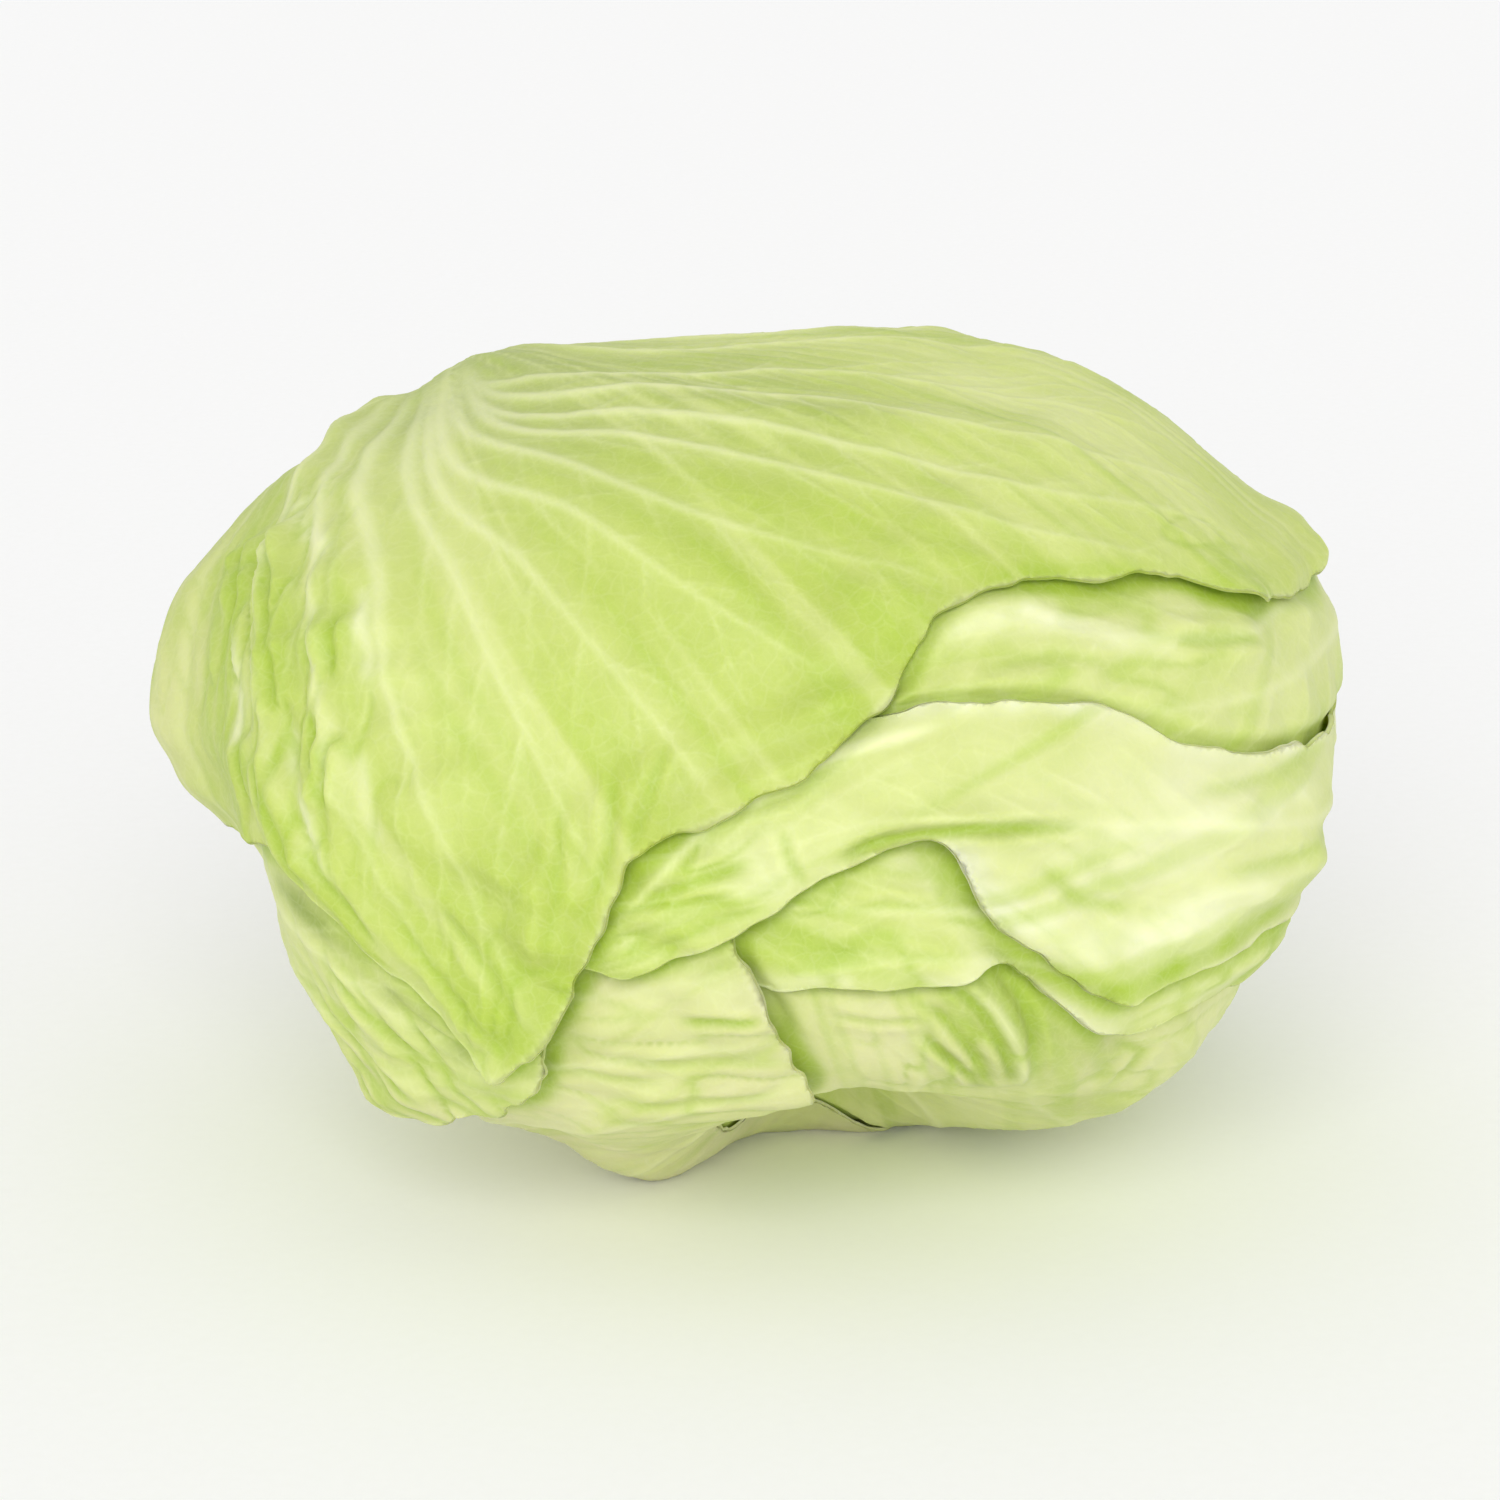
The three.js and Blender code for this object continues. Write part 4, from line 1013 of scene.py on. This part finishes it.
# Streaks of colour along a path: its places, width in mm, colour, strength.
STROKES = {
    "leaf_cover": [
        ([(-78, 33), (-73, 31.2), (-66, 31), (-59, 30.5)], 1.6, WHITE, 0.8),
        ([(-51, 29), (-49, 26.6), (-45.5, 23), (-44, 20)], 1.5, WHITE, 0.9),
        ([(-72, 18), (-69, 16.3), (-64.3, 13.4), (-62, 9)], 1.5, WHITE, 0.7),
        ([(-54, 14), (-48.4, 8.7), (-46.9, 5.2), (-44, 0)], 1.5, WHITE, 0.8),
        ([(-43, 14), (-41, 9), (-39, 5)], 1.4, WHITE, 0.6),
        ([(-62, 12), (-54, 6), (-49, 0), (-41, -6), (-30, -14)], 3.0, BRIGHT, 0.6),
        ([(31, 34.5), (36, 34), (43, 32.5), (48, 31), (53, 30.5)], 2.6, BRIGHT, 0.8),
        ([(56, 29.5), (61, 26.5), (66, 24), (71, 22.5)], 2.6, BRIGHT, 0.8),
    ],
    "leaf_right": [
        # The first white stroke, on the lower fold's ridge, is partly the leaf's own paleness and
        # partly painted highlight; the bright green stroke is painted shade on the fold's flank;
        # the olive strokes are painted shadow in a crease and along the lower margin.
        ([(16.5, 9), (19, 6.5), (21.5, 4), (25, 0), (30.5, -3), (38.8, -3), (48, -1.5), (56, -1)],
         3.0, WHITE, 1.0),
        ([(8, 19), (12, 21), (18, 22), (27, 21.5), (34, 20), (40, 17.5)], 2.2, WHITE, 0.7),
        ([(40, 17.5), (45, 14.5), (51, 12), (60, 10), (75, 8)], 2.2, WHITE, 0.7),
        ([(34, 7.5), (42, 6.5), (52, 5), (66, 4.5)], 1.8, WHITE, 0.8),
        ([(27, -4.5), (31, -6.6), (36, -8), (43, -7), (52, -5.6), (62, -5)], 2.6, BRIGHT, 0.9),
        ([(8, 7), (11, 8.4), (15.3, 9.4), (19.7, 9.8), (26.7, 9.2), (32, 8.6)], 1.4, OLIVE, 1.0),
        ([(22.5, 0.8), (24.3, -1.8), (26.5, -4), (28, -5.6), (30, -6.9), (33, -8.2), (36, -9)],
         1.7, OLIVE, 1.0),
    ],
    "leaf_right_upper": [
        ([(21, 29), (27, 30), (33, 30), (39, 27), (44, 24.5), (50, 23)], 2.2, WHITE, 0.8),
        # Painted shade: bright green just below the cover's margin.
        ([(34, 33), (41, 31.5), (48, 30)], 2.4, BRIGHT, 0.7),
        ([(57, 28), (63, 23), (69, 21.5)], 2.4, BRIGHT, 0.7),
    ],
    "leaf_right_lower": [
        ([(10, -6), (20, -6), (24, -4), (27, -6), (30, -9), (35, -13), (46, -13)], 2.4, CREAM, 0.9),
        ([(-2, -6), (4, -6), (10, -6)], 2.0, CREAM, 0.8),
        ([(12, 7), (17, 5), (20, 1), (23, -3)], 2.4, CREAM, 0.6),
        # Painted shade and shadow below leaf_right's margin: a band of bright green and an olive
        # line.
        ([(20, 4), (22.5, -0.5), (24.5, -3), (28, -6.6), (31, -8.4)], 2.6, BRIGHT, 0.9),
        ([(20, 3), (22, -0.5), (26, -5.2), (31, -8.9), (36, -11.3), (42, -11)], 1.8, OLIVE, 1.0),
        ([(28, -9), (31.2, -10.3), (36.5, -11.6), (46, -11.5), (58, -10.5)], 2.6, CREAM, 0.8),
    ],
    "leaf_bottom_left": [
        # Painted shade: bright green just below leaf_right's margin.
        ([(-16, -6), (-8, -3.5), (-3, -1)], 2.4, BRIGHT, 0.7),
    ],
    "leaf_lower_left": [
        # Painted shadow: an olive band just below the cover's margin.
        ([(-58, -3), (-51, -4), (-44, -8), (-37, -13), (-30, -19)], 3.0, OLIVE, 0.8),
    ],
    "leaf_underside": [
        # Painted shadow: the olive strokes darken the creases and the strip under the lower margin
        # of leaf_right_lower.
        ([(19, -6.5), (23.5, -6), (27, -9), (28.5, -13), (29.6, -17.7), (32, -23)],
         3.4, OLIVE, 0.65),
        ([(20, -7), (22.9, -8.8), (24.8, -10.9), (26.8, -13.9), (29, -17.5), (32, -23)],
         1.3, CREAM, 0.9),
        ([(18, -6.5), (21, -8.4), (23.3, -11), (25.2, -13.8), (27.2, -17), (30, -22)],
         1.3, OLIVE, 1.0),
        ([(18, -14), (20.5, -16.8), (23, -19.3), (25, -21.3), (29, -26)], 1.3, OLIVE, 0.9),
        ([(18, -10), (20, -12), (22, -14.5), (24.5, -17.5), (28, -23)], 1.2, OLIVE, 0.8),
    ],
}


def mixed(a, b, share):
    return a + (b - a) * share[:, None]


def tints(leaf, d, beyond, looks):
    """The colour before veins: streaked from the base, with painted shade that greens creases and
    the strip just outside covering margins.
    """
    k = leaf["order"]
    p = d * NOMINAL_RADIUS
    base, patches = COLOURS[leaf["name"]]
    colour = np.tile(base, (len(d), 1))
    blotch = noises(BLOTCHES, p, k)
    for place, radius, other, strength in patches:
        away = angle(d, at(*place)) + 0.25 * radius * blotch
        colour = mixed(colour, other, strength * hump(np.maximum(away, 0), radius))
    for path, width, other, strength in STROKES[leaf["name"]]:
        away, where = from_path(places(path), d)
        ragged = 0.8 + 0.5 * noise(p, 4, k + 6)
        share = np.clip(strength * fading(where, 6, 0.2) * ragged, 0, 1) * hump(away, width)
        colour = mixed(colour, other, share)
    pale = leaf["streaks"].read(to_plane(leaf, d) * NOMINAL_RADIUS)
    pale *= 1 - HUB_FADE * hub_share(leaf, d)
    # Painted shade: green just outside a covering leaf's margin, where its shadow falls, weaker
    # where the margin lies close.
    shade = hump(np.maximum(looks["covered"], 0), 2.2) * (1 - 0.5 * looks["seam"])
    for other, cause, share in [
        (FRESH, "blotch", ease(0.4 + blotch) * (1 - pale)),
        (BRIGHT, "streak", ease(looks["streak"] * 1.6) * (1 - pale)),
        (PALE, "pale_streak", ease(-looks["streak"] * 1.6)),
        (PALE, "rib", pale),
        (CREAM, "base", hump(angle(d, STEM), 30)),
        # painted shade: greener down creases and wrinkles
        (BRIGHT, "crease_shade", looks["crease_shade"]),
        (BRIGHT, "shade", shade),
        (CREAM, "rim", ease(1 + (beyond + 0.2) / 1.4)),
    ]:
        colour = mixed(colour, other, SHARE[cause] * share)
    return colour


class Nodes:
    """Short hand for a material's node tree."""

    def __init__(self, name):
        self.material = bpy.data.materials.new(name)
        self.material.use_nodes = True
        self.tree = self.material.node_tree
        self.shader = self.tree.nodes["Principled BSDF"]

    def add(self, kind, inputs=(), **settings):
        node = self.tree.nodes.new("ShaderNode" + kind)
        for key, value in settings.items():
            setattr(node, key, value)
        for key, value in dict(inputs).items():
            self.set(node, key, value)
        return node

    def set(self, node, key, value):
        if isinstance(value, bpy.types.NodeSocket):
            self.tree.links.new(value, node.inputs[key])
        else:
            node.inputs[key].default_value = value

    def math(self, operation, a, b=0.0):
        return self.add("Math", {0: a, 1: b}, operation=operation).outputs[0]

    def times(self, a, b):
        return self.math("MULTIPLY", a, b)

    def mix(self, share, a, b, blend="MIX"):
        node = self.add("Mix", {0: share, 6: a, 7: b}, data_type="RGBA", blend_type=blend)
        return node.outputs[2]

    def ramp(self, value, low, high):
        inputs = {0: value, 1: low, 2: high}
        return self.add("MapRange", inputs, interpolation_type="SMOOTHSTEP").outputs[0]

    def span(self, value, low, high):
        return self.add("MapRange", {0: value, 3: low, 4: high}).outputs[0]

    def cells(self, where, scale, width):
        """A net of soft lines between cells."""
        net = self.add("TexVoronoi", {"Vector": where, "Scale": scale}, feature="DISTANCE_TO_EDGE")
        return self.ramp(net.outputs["Distance"], width, 0.0)

    def finish(self, **inputs):
        """Sets the shader's inputs, named with _ for a space."""
        for key, value in inputs.items():
            self.set(self.shader, key.replace("_", " "), value)
        return self.material


def rgba(colour):
    return (*colour, 1.0)


def leaf_material(name):
    """Waxy leaf: the mesh's tint, pale veins, a net of finer veins, mottling and a soft glow."""
    n = Nodes(name)
    where = n.add("TexCoord").outputs["Object"]
    tint = n.add("Attribute", attribute_name="tint").outputs["Color"]
    vein = n.add("Attribute", attribute_name="vein").outputs["Fac"]
    warp = n.add("TexNoise", {"Vector": where, "Scale": 160, "Detail": 2}).outputs["Color"]
    bent = n.add("VectorMath", {0: warp, 1: (0.004,) * 3}, operation="MULTIPLY").outputs[0]
    bent = n.add("VectorMath", {0: where, 1: bent}, operation="ADD").outputs[0]
    net = n.cells(bent, 260, 0.10)
    fine_net = n.cells(bent, 700, 0.14)
    mottle = n.add("TexNoise", {"Vector": where, "Scale": 55, "Detail": 4, "Roughness": 0.6})
    mottle = n.ramp(mottle.outputs["Fac"], 0.35, 0.68)
    grain = n.add("TexNoise", {"Vector": where, "Scale": 900, "Detail": 3}).outputs["Fac"]
    green = n.mix(0.5, tint, n.mix(1.0, tint, tint, "MULTIPLY"))
    colour = n.mix(n.times(mottle, 0.28), tint, green)
    colour = n.mix(n.times(net, 0.06), colour, rgba(CREAM))
    colour = n.mix(n.times(fine_net, 0.06), colour, rgba(PALE))
    colour = n.mix(n.times(n.ramp(vein, 0.04, 0.75), 0.50), colour, rgba(CREAM))
    relief = {"Height": n.times(grain, 0.5), "Distance": 0.00025, "Strength": 0.6}
    return n.finish(
        Base_Color=colour, Roughness=n.span(grain, 0.38, 0.62),
        Subsurface_Weight=0.35, Subsurface_Radius=(0.9, 1.0, 0.25), Subsurface_Scale=0.004,
        Specular_IOR_Level=0.4, Normal=n.add("Bump", relief).outputs[0],
    )


def stem_material():
    """Freshly cut stump: cream pith, a ring of strands, drying towards brown at the rim."""
    n = Nodes("stem_surface")
    where = n.add("TexCoord").outputs["Object"]
    ring = n.add("Attribute", attribute_name="reach").outputs["Fac"]
    dots = n.add("TexVoronoi", {"Vector": where, "Scale": 520}).outputs["Distance"]
    strands = n.times(n.ramp(dots, 0.45, 0.1), n.ramp(ring, 0.45, 0.75))
    stain = n.add("TexNoise", {"Vector": where, "Scale": 130, "Detail": 5}).outputs["Fac"]
    colour = n.mix(n.ramp(stain, 0.4, 0.75), rgba(PITH), rgba(CUT))
    colour = n.mix(n.times(strands, 0.5), colour, rgba(STRANDS))
    dry = n.times(n.ramp(ring, 0.78, 1.0), n.ramp(stain, 0.3, 0.6))
    colour = n.mix(n.times(dry, 0.7), colour, rgba(DRIED))
    height = n.math("ADD", stain, n.times(strands, 0.5))
    return n.finish(
        Base_Color=colour, Roughness=n.span(stain, 0.55, 0.85),
        Subsurface_Weight=0.15, Subsurface_Radius=(1.0, 0.8, 0.4), Subsurface_Scale=0.002,
        Normal=n.add("Bump", {"Height": height, "Distance": 0.0006}).outputs[0],
    )


# ---- the stem and the heart ----
STEM_PLANE = dict(middle=STEM, along=STEM_UP, across=STEM_BACK)
STEM_SIDES = 72  # of the solid
STEM_FINE_SIDES = 240
STEM_STEP = 0.8  # mm
STEM_RINGS = 17  # radians of ripple from the middle to the rim
STEM_ROUGH = [(0.30, 5, 0), (0.16, 1.8, 4)]  # layers of noise


def stem_outline(count):
    turn = np.arange(count) / count * 2 * math.pi
    uneven = 1 + 0.05 * np.cos(2 * turn + 0.6) + 0.03 * np.sin(3 * turn)
    return (STEM_REACH * RAD * uneven)[:, None] * np.stack([np.cos(turn), np.sin(turn)], -1)


def stem_face():
    """How far the cut face is from the head's middle: proud of the leaves round it."""
    around = np.array([near(bearing, STEM_REACH + 3) for bearing in range(0, 360, 60)])
    return heart_radius(STEM[None])[0] + stack(around)[1].max() + STEM_PROUD


def stem_faces(flat, face):
    d = from_plane(STEM_PLANE, flat)
    reach = angle(d, STEM) / STEM_REACH
    return d, reach, heart_radius(d) + STEM_SEAT, face - STEM_ROUNDING * reach**4


def shift_to_frame(face):
    """What moves the head's own coordinates to the frame's: the stem's box is the same in both."""
    d, _, low, high = stem_faces(stem_outline(STEM_SIDES), face)
    points = np.vstack([place_at(d, low), place_at(d, high)])
    box = np.array([list(corner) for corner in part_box("stem")]) / MM
    shift = box.mean(0) - (points.min(0) + points.max(0)) / 2
    return np.array([shift[0], shift[1], 0])


def stem_piece(face):
    """The cut stem with rings, strands and a hollow in the middle."""
    step = STEM_STEP / NOMINAL_RADIUS
    rim = stem_outline(STEM_FINE_SIDES)
    p = even_triangles(math.ceil(0.3 / step), step)[2]
    p = p[distance_to_loop(rim, p) < -RIM_GAP * step]
    flat = np.vstack([rim, p])
    triangles = triangles_of(rim, flat)
    d, reach, low, high = stem_faces(flat, face)
    where = d * NOMINAL_RADIUS
    rings = 0.25 * np.sin(reach * STEM_RINGS + 2 * noise(where, 6, 2)) * ease(reach * 2 - 0.6)
    high = high + noises(STEM_ROUGH, where) + rings - 0.5 * hump(reach, 0.35)
    m = len(rim)
    edge = from_plane(STEM_PLANE, rim * 1.012)
    middle = place_at(edge, ((low + high) / 2)[:m] + 1.0)
    high, low = place_at(d, high), place_at(d, low)
    points, polygons = rounded_sheet(flat, m, triangles, high, low, middle)
    reach = np.concatenate([reach, reach, reach[:m]])
    piece = mesh_of("stem_cut", points + SHIFT, polygons, {"reach": reach})
    piece.data.materials.append(stem_material())
    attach(piece, "root")
    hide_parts("stem")


def dress_heart():
    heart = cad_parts["heart"]
    heart.data.materials.clear()
    heart.data.materials.append(heart_material())
    heart.data.shade_smooth()


def heart_material():
    """The pale inner leaves, glimpsed between the outer leaves' bases."""
    n = Nodes("heart_surface")
    where = n.add("TexCoord").outputs["Object"]
    mottle = n.add("TexNoise", {"Vector": where, "Scale": 70, "Detail": 4}).outputs["Fac"]
    net = n.cells(where, 230, 0.1)
    colour = n.mix(n.ramp(mottle, 0.35, 0.7), rgba(CREAM), rgba(PALE))
    return n.finish(
        Base_Color=n.mix(n.times(net, 0.4), colour, rgba(WHITE)),
        Roughness=n.span(mottle, 0.4, 0.6),
        Normal=n.add("Bump", {"Height": net, "Distance": 0.0004}).outputs[0],
    )


# ---- stage, light and camera ----
FLOOR_HALF = 6  # m
WORLD_STRENGTH = 0.74
# name, the turn that points it in degrees, strength, spread in degrees
LAMPS = [("key", (60, 0, -6), 1.3, 40), ("fill", (74, 0, 24), 0.40, 60)]


def make_stage():
    mesh = bpy.data.meshes.new("floor")
    corners = [(-1, -1, 0), (1, -1, 0), (1, 1, 0), (-1, 1, 0)]
    mesh.from_pydata(np.array(corners) * FLOOR_HALF, [], [(0, 1, 2, 3)])
    floor = bpy.data.objects.new("floor", mesh)
    bpy.context.scene.collection.objects.link(floor)
    n = Nodes("floor_paper")
    where = n.add("TexCoord").outputs["Object"]
    fibre = n.add("TexNoise", {"Vector": where, "Scale": 400}).outputs["Fac"]
    colour = n.mix(fibre, *(rgba(shade) for shade in PAPER))
    mesh.materials.append(n.finish(Base_Color=colour, Roughness=0.9, Specular_IOR_Level=0.1))


def make_light():
    world = bpy.data.worlds.new("studio")
    bpy.context.scene.world = world
    world.use_nodes = True
    background = world.node_tree.nodes["Background"].inputs
    background["Color"].default_value = (1, 1, 1, 1)
    background["Strength"].default_value = WORLD_STRENGTH
    for name, turn, strength, spread in LAMPS:
        light = bpy.data.lights.new(name, "SUN")
        light.energy = strength
        light.angle = spread * RAD
        lamp = bpy.data.objects.new(name, light)
        lamp.rotation_euler = [math.radians(a) for a in turn]
        bpy.context.scene.collection.objects.link(lamp)


CAMERA_HEIGHT_ANGLE = 18
CAMERA_DISTANCE = 0.9
PHOTO_WIDTH = 1500  # pixels
PIXELS_PER_MM = 5.38
AIM = Vector((0, 0, 0.074))


def make_camera():
    camera = bpy.data.cameras.new("camera")
    camera.sensor_width = 36
    camera.lens = PIXELS_PER_MM * CAMERA_DISTANCE / MM * camera.sensor_width / PHOTO_WIDTH
    body = bpy.data.objects.new("camera", camera)
    rise = CAMERA_HEIGHT_ANGLE * RAD
    body.location = AIM + CAMERA_DISTANCE * Vector((0, -math.cos(rise), math.sin(rise)))
    body.rotation_euler = (math.pi / 2 - rise, 0, 0)
    bpy.context.scene.collection.objects.link(body)
    bpy.context.scene.camera = body


make_camera()
make_light()
make_stage()
bpy.context.scene.view_settings.view_transform = "Standard"

for order, leaf in enumerate(LEAVES):
    leaf.update(order=order, ribs=RIBS[leaf["name"]])
    prepare(leaf)
STEM_FACE = stem_face()
SHIFT = shift_to_frame(STEM_FACE)
for leaf in LEAVES:
    grow_veins(leaf)
    leaf_piece(leaf)
stem_piece(STEM_FACE)
dress_heart()
